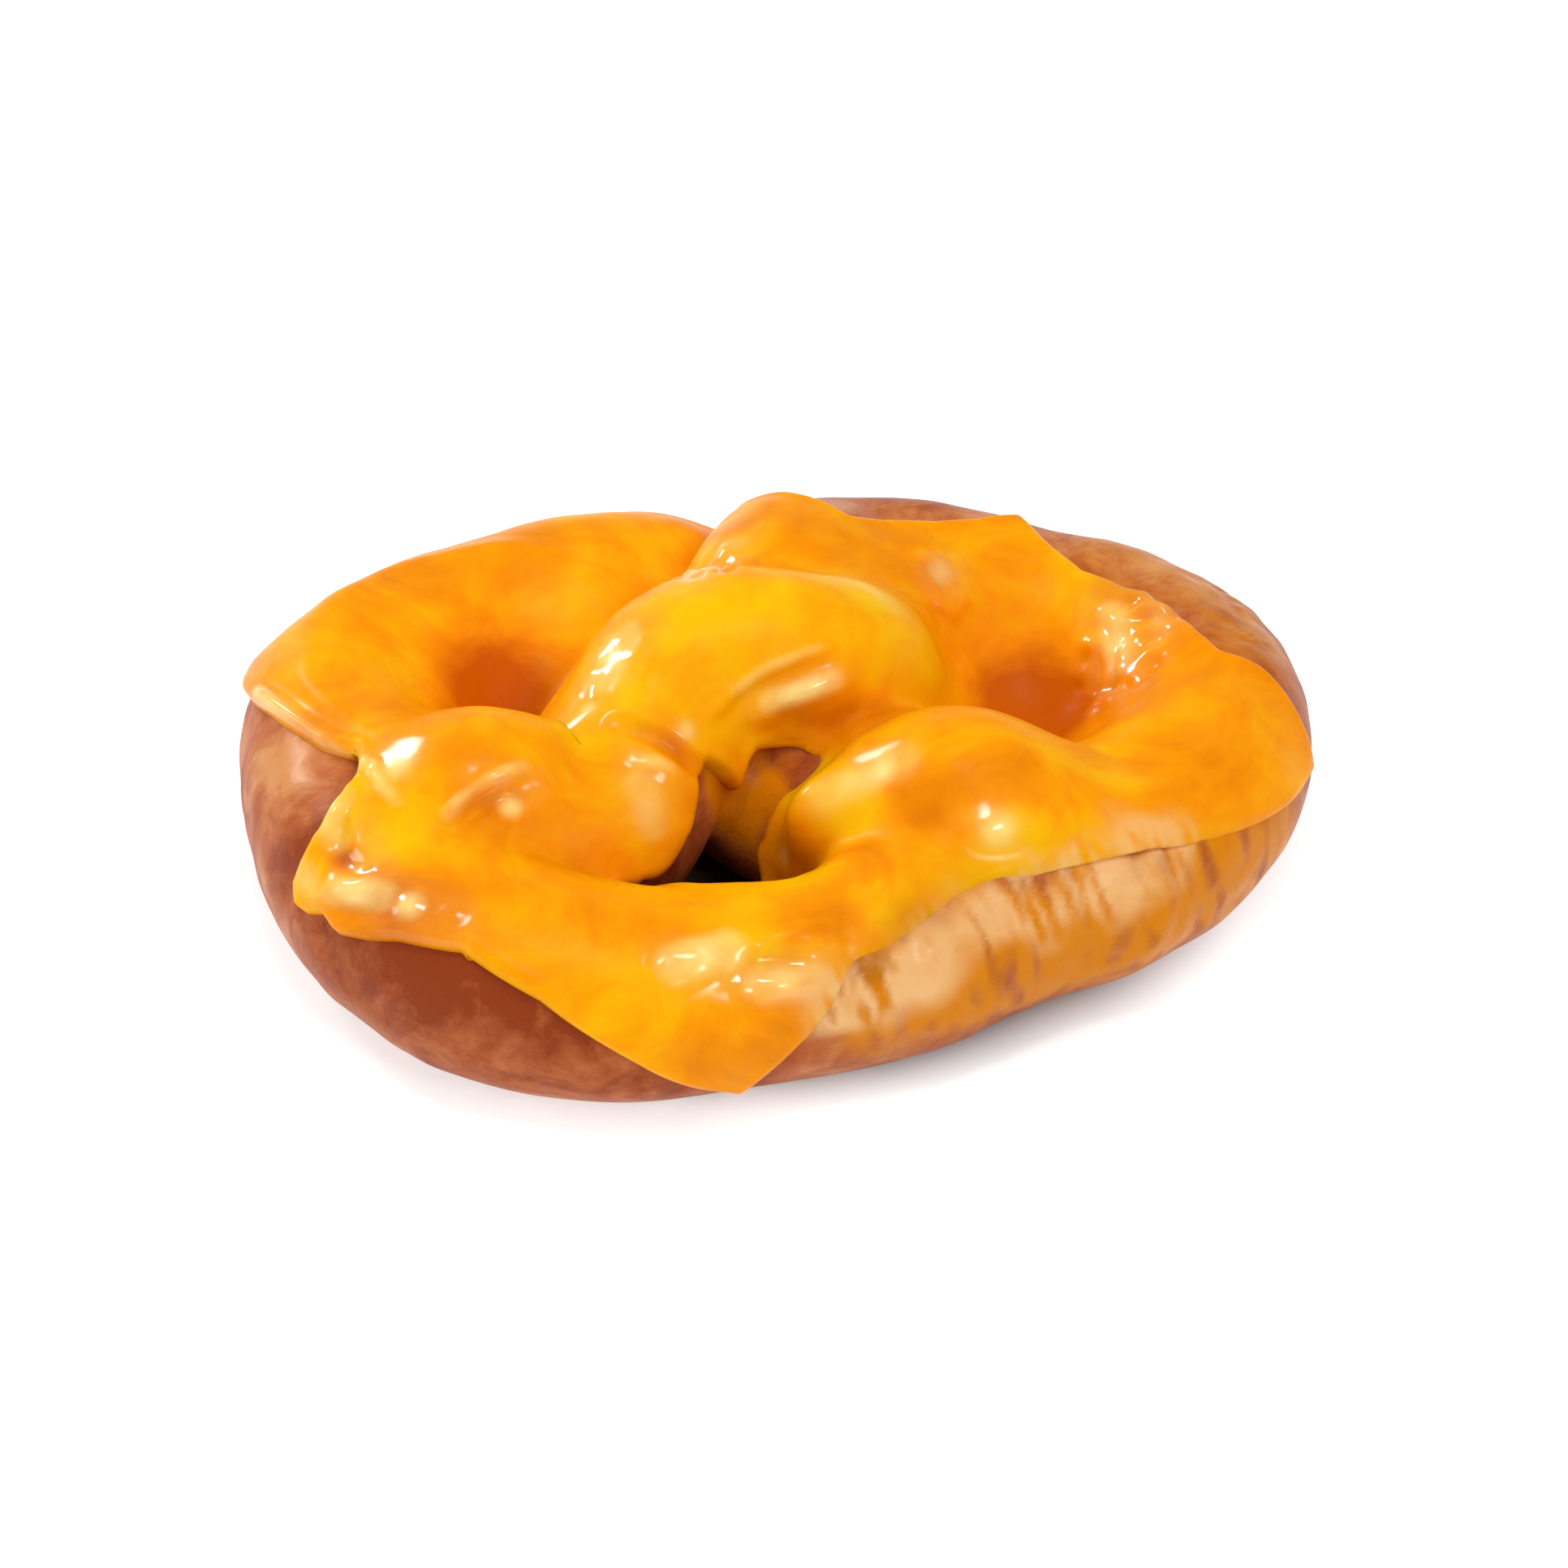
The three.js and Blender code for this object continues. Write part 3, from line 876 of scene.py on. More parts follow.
class Graph:
    """The node tree of one material, with a principled shader at its end."""

    def __init__(self, name: str) -> None:
        """Starts an empty material.

        Args:
            name: The material's name.
        """
        self.material = bpy.data.materials.new(name)
        self.material.use_nodes = True
        self.tree = self.material.node_tree
        self.shader = self.tree.nodes["Principled BSDF"]

    def add(
        self,
        kind: str,
        settings: Optional[dict[str, object]] = None,
        inputs: Optional[dict[Union[int, str], object]] = None,
        output: Union[int, str] = 0,
    ) -> Socket:
        """Adds any node.

        Args:
            kind: The node's type.
            settings: Its settings, which are set first; "stops" are a ramp's places and colours.
            inputs: Values or links for its sockets, by number or name.
            output: Which output to hand back.

        Returns:
            The node's output.
        """
        node = self.tree.nodes.new(kind)
        for key, value in (settings or {}).items():
            if key == "stops":
                elements = node.color_ramp.elements
                while len(elements) < len(value):
                    elements.new(0.5)
                for element, (place, colour) in zip(elements, value):
                    element.position = place
                    element.color = (*colour, 1)
            else:
                setattr(node, key, value)
        for key, value in (inputs or {}).items():
            self.feed(node.inputs[key], value)
        return Socket(self, node.outputs[output])

    def feed(self, socket: bpy.types.NodeSocket, value: object) -> None:
        """Links or sets one socket."""
        if isinstance(value, Socket):
            self.tree.links.new(value.output, socket)
        elif isinstance(value, tuple) and len(value) == 3 and socket.type == "RGBA":
            socket.default_value = (*value, 1)
        else:
            socket.default_value = value

    def place(self) -> Socket:
        """Where the surface is, in metres in the object's frame."""
        return self.add("ShaderNodeTexCoord", output="Object")

    def noise(self, noise: Noise) -> Socket:
        """Noise from 0 to 1."""
        inputs = {
            "Vector": self.place(),
            "Scale": noise.scale,
            "Detail": noise.detail,
            "Roughness": noise.roughness,
            "Distortion": noise.warp,
        }
        return self.add("ShaderNodeTexNoise", {}, inputs)

    def reading(self, reading: Reading) -> Socket:
        """A value that the mesh holds for each vertex."""
        return self.add("ShaderNodeAttribute", {"attribute_name": reading.value}, output="Fac")

    def uneven(self, mottling: Mottling, *noises: Socket) -> Socket:
        """A value that noises push up and down from its middle, each by its own amount."""
        value, *amounts = mottling
        for noise, amount in zip(noises, amounts):
            value = value + (noise - 0.5) * amount
        return value

    def mix(self, share: Operand, low: object, high: object) -> Socket:
        """Mixes two colours, which are a colour mix node's inputs 6 and 7."""
        return self.add("ShaderNodeMix", {"data_type": "RGBA"}, {0: share, 6: low, 7: high}, 2)

    def overlaid(self, below: Socket, film: Film, patches: Socket) -> Socket:
        """Lays a film over a colour."""
        strength = self.reading(film.reading) * (film.even + patches * film.patchy)
        return self.mix(strength.clamped(), below, film.colour)

    def ramp(self, value: Socket, stops: Stops) -> Socket:
        """Turns a value into a colour."""
        return self.add("ShaderNodeValToRGB", {"stops": stops}, {0: value})

    def bump(self, height: Socket, distance: float, strength: float) -> Socket:
        """Fine relief for the shader's normal."""
        inputs = {"Height": height, "Distance": distance, "Strength": strength}
        return self.add("ShaderNodeBump", {}, inputs)

    def dress(self, **inputs: object) -> bpy.types.Material:
        """Sets the shader's sockets, named with _ for a space.

        Args:
            inputs: Values or links, by socket.

        Returns:
            The finished material.
        """
        for key, value in inputs.items():
            self.feed(self.shader.inputs[key.replace("_", " ")], value)
        return self.material


# ------------------------------------------------------------------ finishes


@dataclass(frozen=True)
class CrustFinish:
    """Baked crust: chestnut with painted shade low down, golden in the creases, glazed where the
    cheese's fat ran.

    Attributes:
        browns: The crust's own colours, by how pale it is from 0 to 1.
        glaze: The fat that ran over it.
        painted_shade: Painted shade, its darkest parts: deep in the front hole and low along the floor.
        fat_and_highlight: The pale streaks in the glaze, painted highlights on its wrinkled skin.
        cloud: Its broadest mottling.
        blotch: Its blotches.
        fleck: Its flecks.
        pore: Its finest pores.
        paleness: How pale it is, mottled by cloud, blotch and fleck.
        roughness: How rough it is, mottled by cloud and fleck.
        glaze_gloss: How much smoother the glaze is.
        relief: How high it stands, mottled by fleck, pore and blotch.
        grain: The height of its relief, in metres, and the relief's strength.
        scatter: How far light spreads in it, in metres.
    """

    browns: Stops = (
        (0.2, (0.27, 0.044, 0.009)),
        (0.52, (0.45, 0.115, 0.030)),
        (0.88, (0.62, 0.25, 0.08)),
    )
    glaze: Film = Film(Reading.GLAZE, (0.64, 0.20, 0.002), even=0.7, patchy=1.6)
    painted_shade: Film = Film(Reading.PAINTED_SHADE, (0.060, 0.010, 0.003))
    fat_and_highlight: Film = Film(Reading.STREAK, (0.80, 0.44, 0.17), even=0.3, patchy=1.1)
    cloud: Noise = Noise(38, 4, 0.55, 0.4)
    blotch: Noise = Noise(110, 4, 0.6, 0.8)
    fleck: Noise = Noise(420, 4, 0.65)
    pore: Noise = Noise(1500, 3, 0.6)
    paleness: Mottling = (0.40, 0.65, 1.1, 0.5)
    roughness: Mottling = (0.40, 0.2, 0.2)
    glaze_gloss: float = 0.16
    relief: Mottling = (0.0, 0.5, 0.25, 0.6)
    grain: Span = (0.0006, 0.55)
    scatter: Colour = (0.003, 0.001, 0.0005)

    def material(self) -> bpy.types.Material:
        """Makes the material."""
        graph = Graph("baked_crust")
        noises = (self.cloud, self.blotch, self.fleck, self.pore)
        cloud, blotch, fleck, pore = (graph.noise(noise) for noise in noises)
        glazed = graph.reading(Reading.GLAZE)
        streak = graph.reading(Reading.STREAK)
        # The pale reading holds painted sheen on the left and back right flanks and painted light in
        # the front hole.
        paleness = graph.uneven(self.paleness, cloud, blotch, fleck) + graph.reading(Reading.PALE)
        skin = graph.ramp(paleness.clamped(), self.browns)
        # Over the browns lie the fat's glaze, the painted shade and the glaze's painted highlights.
        for film in (self.glaze, self.painted_shade, self.fat_and_highlight):
            skin = graph.overlaid(skin, film, blotch)
        bare_gloss = blotch.step(0.5, 0.75) * 0.2 * (1 - glazed)
        roughness = graph.uneven(self.roughness, cloud, fleck) - glazed * self.glaze_gloss
        height = graph.uneven(self.relief, fleck, pore, blotch)
        return graph.dress(
            Base_Color=skin,
            Roughness=roughness,
            Normal=graph.bump(height, *self.grain),
            IOR=1.45,
            Specular_IOR_Level=0.08,
            Coat_Weight=(0.02 + bare_gloss + streak * 0.3).clamped(),
            Coat_Roughness=0.2,
            Subsurface_Weight=0.05,
            Subsurface_Radius=self.scatter,
        )


@dataclass(frozen=True)
class CheeseFinish:
    """Melted cheddar: golden where it lies thick and where light is painted on, deep orange with
    painted shade in its hollows.

    Attributes:
        golds: The cheese's own colours, by how deep they are from 0 to 1.
        brown: The crust's brown, which shows through where the sheet is thin.
        fat_and_highlight: The pale fat on its crests, and its painted highlights.
        run_on_highlight: The crust's streaks of painted highlight, which run on over the feathered
            edge.
        cloud: Its broadest mottling.
        patch: Its patches.
        grease: The spots of fat.
        swirl: The swirls that it melted into.
        deepness: How deep its colour is, mottled by cloud, patch and swirl.
        roughness: How rough it is, mottled by grease.
        fat_gloss: How much smoother it is where it glistens.
        relief: How high it stands, mottled by patch, swirl and the grease where it glistens.
        grain: The height of its relief, in metres, and the relief's strength.
        scatter: How far light spreads in it, in metres.
    """

    golds: Stops = (
        (0.1, (0.90, 0.48, 0.0012)),
        (0.45, (0.88, 0.285, 0.0006)),
        (0.95, (0.56, 0.105, 0.0003)),
    )
    brown: Film = Film(Reading.THIN, (0.70, 0.25, 0.002), even=0.56, patchy=1.4)
    fat_and_highlight: Film = Film(Reading.STREAK, (0.96, 0.76, 0.25), even=0.35, patchy=1.3)
    run_on_highlight: Film = Film(Reading.RUN, (0.84, 0.46, 0.15), even=0.3, patchy=1.1)
    cloud: Noise = Noise(30, 3, 0.5, 0.6)
    patch: Noise = Noise(95, 3, 0.55, 0.3)
    grease: Noise = Noise(260, 3, 0.55, 0.5)
    swirl: Noise = Noise(55, 4, 0.62, 1.6)
    deepness: Mottling = (0.40, 0.8, 0.45, 0.7)
    roughness: Mottling = (0.34, 0.15)
    fat_gloss: float = 0.1
    relief: Mottling = (0.0, 0.3, 0.25, 0.45)
    grain: Span = (0.0011, 0.45)
    scatter: Colour = (0.004, 0.0018, 0.0003)

    def material(self) -> bpy.types.Material:
        """Makes the material."""
        graph = Graph("melted_cheese")
        noises = (self.cloud, self.patch, self.grease, self.swirl)
        cloud, patch, grease, swirl = (graph.noise(noise) for noise in noises)
        shine = graph.reading(Reading.SHINE)
        deepness = graph.uneven(self.deepness, cloud, patch, swirl)
        # The mesh's reading adds the cheese's own tone, painted shade in hollows, folds and creases,
        # and painted light on shaded flanks.
        deepness = deepness + graph.reading(Reading.TONE_LIGHT_AND_SHADE) * 0.5
        body = graph.ramp(deepness.clamped(), self.golds)
        for film, patches in ((self.brown, patch), (self.fat_and_highlight, grease), (self.run_on_highlight, patch)):
            body = graph.overlaid(body, film, patches)
        height = graph.uneven(self.relief, patch, swirl, shine * grease)
        return graph.dress(
            Base_Color=body,
            Roughness=graph.uneven(self.roughness, grease) - shine * self.fat_gloss,
            Normal=graph.bump(height, *self.grain),
            IOR=1.45,
            Specular_IOR_Level=0.06,
            Coat_Weight=(shine * (0.45 + grease * 0.9)).clamped(),
            Coat_Roughness=0.15,
            Coat_IOR=1.75,
            Subsurface_Weight=0.35,
            Subsurface_Radius=self.scatter,
            Subsurface_Scale=0.6,
        )


@dataclass(frozen=True)
class FloorFinish:
    """The plain pale floor, lit a little from below like a light table.

    Attributes:
        colour: Its own colour.
        glow: How strongly it is lit from below.
        dim: Half the width and depth of the unlit oval that the pretzel stands on, in metres.
        back: How far behind the oval's middle the frame's origin is, in metres.
        shade: Painted shade on the floor under the pretzel, which darkens what shows through the front
            hole.
        shaded: Where in the oval the shade fades out, from 0 in its middle to 1 at its edge.
        unlit: Where in the oval the light from below fades in.
    """

    colour: Colour = (0.62, 0.66, 0.67)
    glow: float = 0.60
    dim: Span = (0.066, 0.051)
    back: float = 0.004
    shade: Colour = (0.10, 0.045, 0.02)
    shaded: Span = (0.25, 0.6)
    unlit: Span = (0.5, 1.05)

    def material(self) -> bpy.types.Material:
        """Makes the material."""
        graph = Graph("pale_floor")
        x, y = (graph.add("ShaderNodeSeparateXYZ", {}, {0: graph.place()}, axis) for axis in (0, 1))
        away = (x / self.dim[0]) ** 2 + ((y + self.back) / self.dim[1]) ** 2
        dark, light = (0.0, 0.0, 0.0), (1.0, 1.0, 1.0)
        return graph.dress(
            # Painted shade darkens the floor under the pretzel.
            Base_Color=graph.mix(away.step(*self.shaded), self.shade, self.colour),
            Roughness=0.8,
            IOR=1.3,
            Emission_Color=graph.mix(away.step(*self.unlit), dark, light),
            Emission_Strength=self.glow,
        )


# ------------------------------------------------------------------ the dough


@dataclass(frozen=True)
class Texture:
    """What a smear of fat, or a band of painted highlights in it, is like.

    Attributes:
        ragged: The lumps that make its outline ragged, as shares of its reach.
        fade: Where it starts and stops fading, as shares of its reach.
        lumps: The lumps that make it uneven, drawn out along its grain.
        step: The lumps' heights at which it is bare and at which it is whole.
    """

    ragged: Swells
    fade: Span
    lumps: Swells
    step: Span


GLAZED = Texture(((0.16, Unevenness(5, 16)),), (0.5, 1.05), ((1.0, Unevenness(12, 5)),), (-2.2, 1.3))
STREAKED = Texture(
    ragged=((0.3, Unevenness(6, 11)),),
    fade=(0.35, 1.15),
    lumps=((1.0, Unevenness(9, 6)), (0.9, Unevenness(10, 2.4))),
    step=(-1.5, 0.5),
)


@dataclass(frozen=True)
class Smear:
    """The cheese's fat or thinnest skin run over the crust; the bands in it are painted highlights.

    Attributes:
        route: Its middle.
        reach: How far it spreads from there, in mm.
        grain: The direction in which its unevenness is drawn out.
        strength: How much of the crust's own colour it hides, from 0 to 1.
        stretch: How far it is drawn out, from 0 to 1.
        spacing: The distance between its route's stations, in mm.
    """

    route: Route
    reach: float
    grain: Place = (0.25, -0.5, -0.83)
    strength: float = 1.0
    stretch: ClassVar[float] = 0.75
    spacing: ClassVar[float] = 2.0

    def cover(self, texture: Texture, points: Array) -> Array:
        """How much of it lies at points, from 0 to 1."""
        away = gap_to(curve_through(self.route, self.spacing), points) / self.reach
        start, end = texture.fade
        ragged = away + swelling(texture.ragged, points)
        inside = 1 - smoothstep(ragged, start * self.strength, end)
        grain = np.array(self.grain)
        drawn = points - self.stretch * (points @ grain)[:, None] * grain
        return self.strength * inside * smoothstep(swelling(texture.lumps, drawn), *texture.step)


BACK_GRAIN = (0.75, -0.6, 0.2)
# The glaze at the front right, a thinner one at the back right, and the front hole's back wall.
GLAZES = (
    Smear(((19, -45, 17), (30, -40, 16.5), (45, -32, 16.5), (60, -21, 16.5), (68, -10, 16.5)), 12.5),
    Smear(((50, 38, 27), (57, 35, 27), (64, 29, 26), (68, 21, 25)), 9.0, BACK_GRAIN, 0.4),
    Smear(((-8, -5, 22), (-2, -6, 18), (2, -12, 15), (1, -18, 13)), 9.0),
)
# Painted highlights: the pale streaks in each of them.
HIGHLIGHT_BANDS = (
    Smear(
        (
            (9, -48.5, 18.5), (16, -46, 18.5), (21, -42.5, 21), (27, -37.5, 23),
            (34, -34.5, 22), (41, -30.5, 22.5), (47, -27, 24), (54, -23, 24),
        ),
        6.8,
    ),
    Smear(((56, 38, 26), (64, 32, 25), (70, 23, 24)), 6.0, BACK_GRAIN, 0.4),
    Smear(((3, -14, 18), (2, -16, 17)), 1.5),
)


def covered(smears: Sequence[Smear], texture: Texture, points: Array) -> Array:
    """How much of any of the smears lies at points, from 0 to 1."""
    return np.max([smear.cover(texture, points) for smear in smears], axis=0)


@dataclass
class Part:
    """What the dough and the cheese have in common.

    Attributes:
        twist: The ropes.
        name: The piece's name.
        node: The solid that it stands for.
        slot: That solid's material slot. Not used.
        finish: What it is dressed in.
    """

    twist: Twist
    name: str
    node: str
    slot: str
    finish: Union[CrustFinish, CheeseFinish]

    def dress(self, skin: Skin, readings: dict[Reading, Array]) -> bpy.types.Object:
        """Makes the piece of its skin, with its finish, in its solid's place.

        Args:
            skin: The piece's mesh.
            readings: What its finish reads.

        Returns:
            The piece.
        """
        piece = skin.object(self.name, readings)
        piece.data.materials.append(self.finish.material())
        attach(piece, "root")
        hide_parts(self.node)
        return piece


@dataclass
class Dough(Part):
    """The baked rope, ring and arms in one piece.

    Attributes:
        fillet: How far touching ropes run into each other, in mm.
        rested: What lies lower than this rests on the floor, in mm.
        lifted: The heights between which the crust's relief sets in, in mm.
        tallest: The most that the relief adds, in mm.
        sunk: How far inside the solid the crust lies without its relief, in mm.
        smoothings: How often the skin is evened out.
        swells: The crust's broad lumps.
        reliefs: Its wrinkles.
        pale: Where it is paler, or browner if negative; this holds painted sheen along the left and
            back right flanks and painted light on the front hole's back wall.
        dark: Where painted shade darkens it: deep in the front hole and low along the floor.
    """

    twist: Twist = Twist()
    name: str = "baked_dough"
    node: str = "dough"
    slot: str = "crust"
    finish: CrustFinish = CrustFinish()
    fillet: float = 3.0
    rested: float = 0.05
    lifted: Span = (0.5, 5.0)
    tallest: float = 0.3
    sunk: float = 0.15
    smoothings: int = 4
    swells: Swells = ((0.28, Unevenness(3, 26)), (0.10, Unevenness(4, 9)))
    reliefs: tuple[Relief, ...] = (
        Wrinkles((30, -38, 18), 26, 0.24, 6.0, 11), Wrinkles((55, -24, 18), 16, 0.24, 6.0, 13),
        Wrinkles((-58, -26, 20), 18, 0.12, 8.0, 12), Wrinkles((64, 30, 24), 16, 0.2, 5.0, 14),
    )
    pale: tuple[Relief, ...] = (
        # painted sheen along the upper left flank
        Bead(((-70, 1, 24), (-66, -9, 25), (-64, -15, 25)), 0.55, 9),
        Bead(((-69, -13, 21), (-69, -20, 13), (-60, -36, 9)), 0.12, 10),
        # painted sheen along the back right
        Bead(((12, 48, 30), (42, 46, 26), (62, 33, 25), (69, 22, 25)), 0.35, 14),
        # a faint paler band low at the front right, and painted light on the front hole's back wall
        Bead(((10, -48, 7), (32, -38, 8), (60, -22, 8)), 0.1, 9), Lump((-5, -7, 19), 0.4, 10),
        Lump((-46, -45, 21), -0.24, 15), Lump((-30, -50, 22), -0.16, 14),
        Lump((-41, -48, 19), -0.14, 12),
    )
    dark: tuple[Relief, ...] = (
        # Painted shade: deep in the front hole, a small spot at the front, and low along the floor.
        Bead(((-12, -22, 16), (-11, -26, 8), (-4, -26, 5)), 1.1, 13), Lump((-6, -17, 5), 0.6, 9),
        Lump((13, -44.5, 21), 0.35, 5),
        Bead(((8, -52, 2), (30, -44, 2), (50, -33, 2), (68, -16, 2), (72, 4, 2)), 0.3, 9),
    )

    def build(self, parts: Sequence[Array], lattice: Lattice) -> bpy.types.Object:
        """Builds the dough.

        Args:
            parts: The ropes, sampled.
            lattice: What they are sampled on.

        Returns:
            The piece.
        """
        shape = self.twist.joined(parts, lattice, self.fillet)
        standing = np.maximum(shape.values, -lattice.axes()[2])
        skin = Skin.around(Sampled(standing, lattice))
        on_floor = skin.points[:, 2] < self.rested
        skin = skin.smoothed(self.smoothings, held=on_floor)
        lift = smoothstep(skin.points[:, 2], *self.lifted)
        height = swelling(self.swells, skin.points) + total(self.reliefs, skin.points)
        move = np.minimum(height, self.tallest) * lift - self.sunk
        skin.points = skin.points + skin.normals() * move[:, None]
        skin.points[:, 2] = np.where(on_floor, 0, np.maximum(skin.points[:, 2], 0))
        readings = {
            Reading.PALE: total(self.pale, skin.points),
            Reading.PAINTED_SHADE: total(self.dark, skin.points),
            Reading.GLAZE: covered(GLAZES, GLAZED, skin.points),
            Reading.STREAK: covered(HIGHLIGHT_BANDS, STREAKED, skin.points),
        }
        return self.dress(skin, readings)


# ------------------------------------------------------------------ the cheese


@dataclass(frozen=True)
class Bowl:
    """A hollow that the sheet sags into where no rope carries it, in mm.

    Attributes:
        x: Where it is lowest, across.
        y: Where it is lowest, from front to back.
        radius: How far it reaches.
        floor: The height of its lowest point.
        slope: How steeply it rises from there.
        rounding: How round its bottom is.
        reach: How far it runs into the ropes round it.
    """

    x: float
    y: float
    radius: float
    floor: float
    slope: float
    rounding: float
    reach: float

    def distance(self, x: Array, y: Array, z: Array) -> Array:
        """The distance to what fills the hollow up to the sheet."""
        out = np.hypot(x - self.x, y - self.y)
        level = self.floor + self.slope * (np.hypot(out, self.rounding) - self.rounding)
        return np.maximum(z - level, out - self.radius)


@dataclass(frozen=True)
class Rim:
    """How the sheet ends: round over its lip, with a low bead, and feathered out where it is thin.

    Attributes:
        lip: How far in from the edge the rounding reaches, in mm.
        bead: The bead's height in mm.
        bead_at: How far in the bead lies.
        bead_width: The bead's half width.
        feather: Where round the ring the edge feathers out.
        sloping: How feathered the edge is where its slope takes over from the rounding.
        slope: How far in the feathered part slopes up.
        thin: How far in it is thinnest, and where the sheet is whole again.
        thinner: The share of the height that it loses.
        dive: How far its edge sinks into the crust.
        run_on_highlight_from: How feathered the edge is where the crust's streaks of painted highlight
            run on over it.
        run_on_highlight: How far in they run.
    """

    lip: float = 1.7
    bead: float = 0.35
    bead_at: float = 1.6
    bead_width: float = 1.1
    feather: Bulge = Bulge(311, 1.0, 36)
    sloping: Span = (0.1, 0.6)
    slope: Span = (0, 7)
    thin: Span = (1.0, 9.0)
    thinner: float = 0.8
    dive: float = 0.85
    run_on_highlight_from: Span = (0.1, 0.5)
    run_on_highlight: Span = (3.5, 8.0)

    def swollen(self, inward: Array) -> Array:
        """The bead's height at distances from the edge."""
        return self.bead * np.exp(-(((inward - self.bead_at) / self.bead_width) ** 2))

    def near(self, inward: Array) -> Array:
        """1 at the edge, 0 beyond the lip."""
        return np.clip(1 - inward / self.lip, 0, 1)

    def profile(self, inward: Array, feathered: Array) -> Array:
        """How much of its height the sheet has, from 0 at the edge to 1."""
        rounding = np.sqrt(np.maximum(1 - self.near(inward) ** 2, 0))
        slope = smoothstep(inward, *self.slope)
        return rounding + (slope - rounding) * smoothstep(feathered, *self.sloping)


@dataclass(frozen=True)
class BareWall:
    """The part of the front hole's left wall that the sheet leaves bare, as an upright round post.

    Attributes:
        x: Its middle, across.
        y: Its middle, from front to back.
        radius: Its radius.
        top: Its top's height, in mm like the rest.
    """

    x: float
    y: float
    radius: float
    top: float

    def outside(self, points: Array) -> Array:
        """How far points are outside the post."""
        out = np.hypot(points[:, 0] - self.x, points[:, 1] - self.y) - self.radius
        return np.maximum(out, points[:, 2] - self.top)


# Routes that both the relief and the colour of the cheese follow.
ROLLED_EDGE = ((-72, 8.5, 26), (-65, -3.3, 30), (-58.6, -11.2, 31), (-53.7, -16.8, 32))
EDGE_TURN = ((-53.7, -16.8, 32), (-52, -20.9, 32), (-49.9, -23.7, 31.6))
LEFT_FOLD = ((-43, -26.3, 31.5), (-39.5, -23, 33), (-37, -21.8, 34), (-33.5, -20, 34.3))


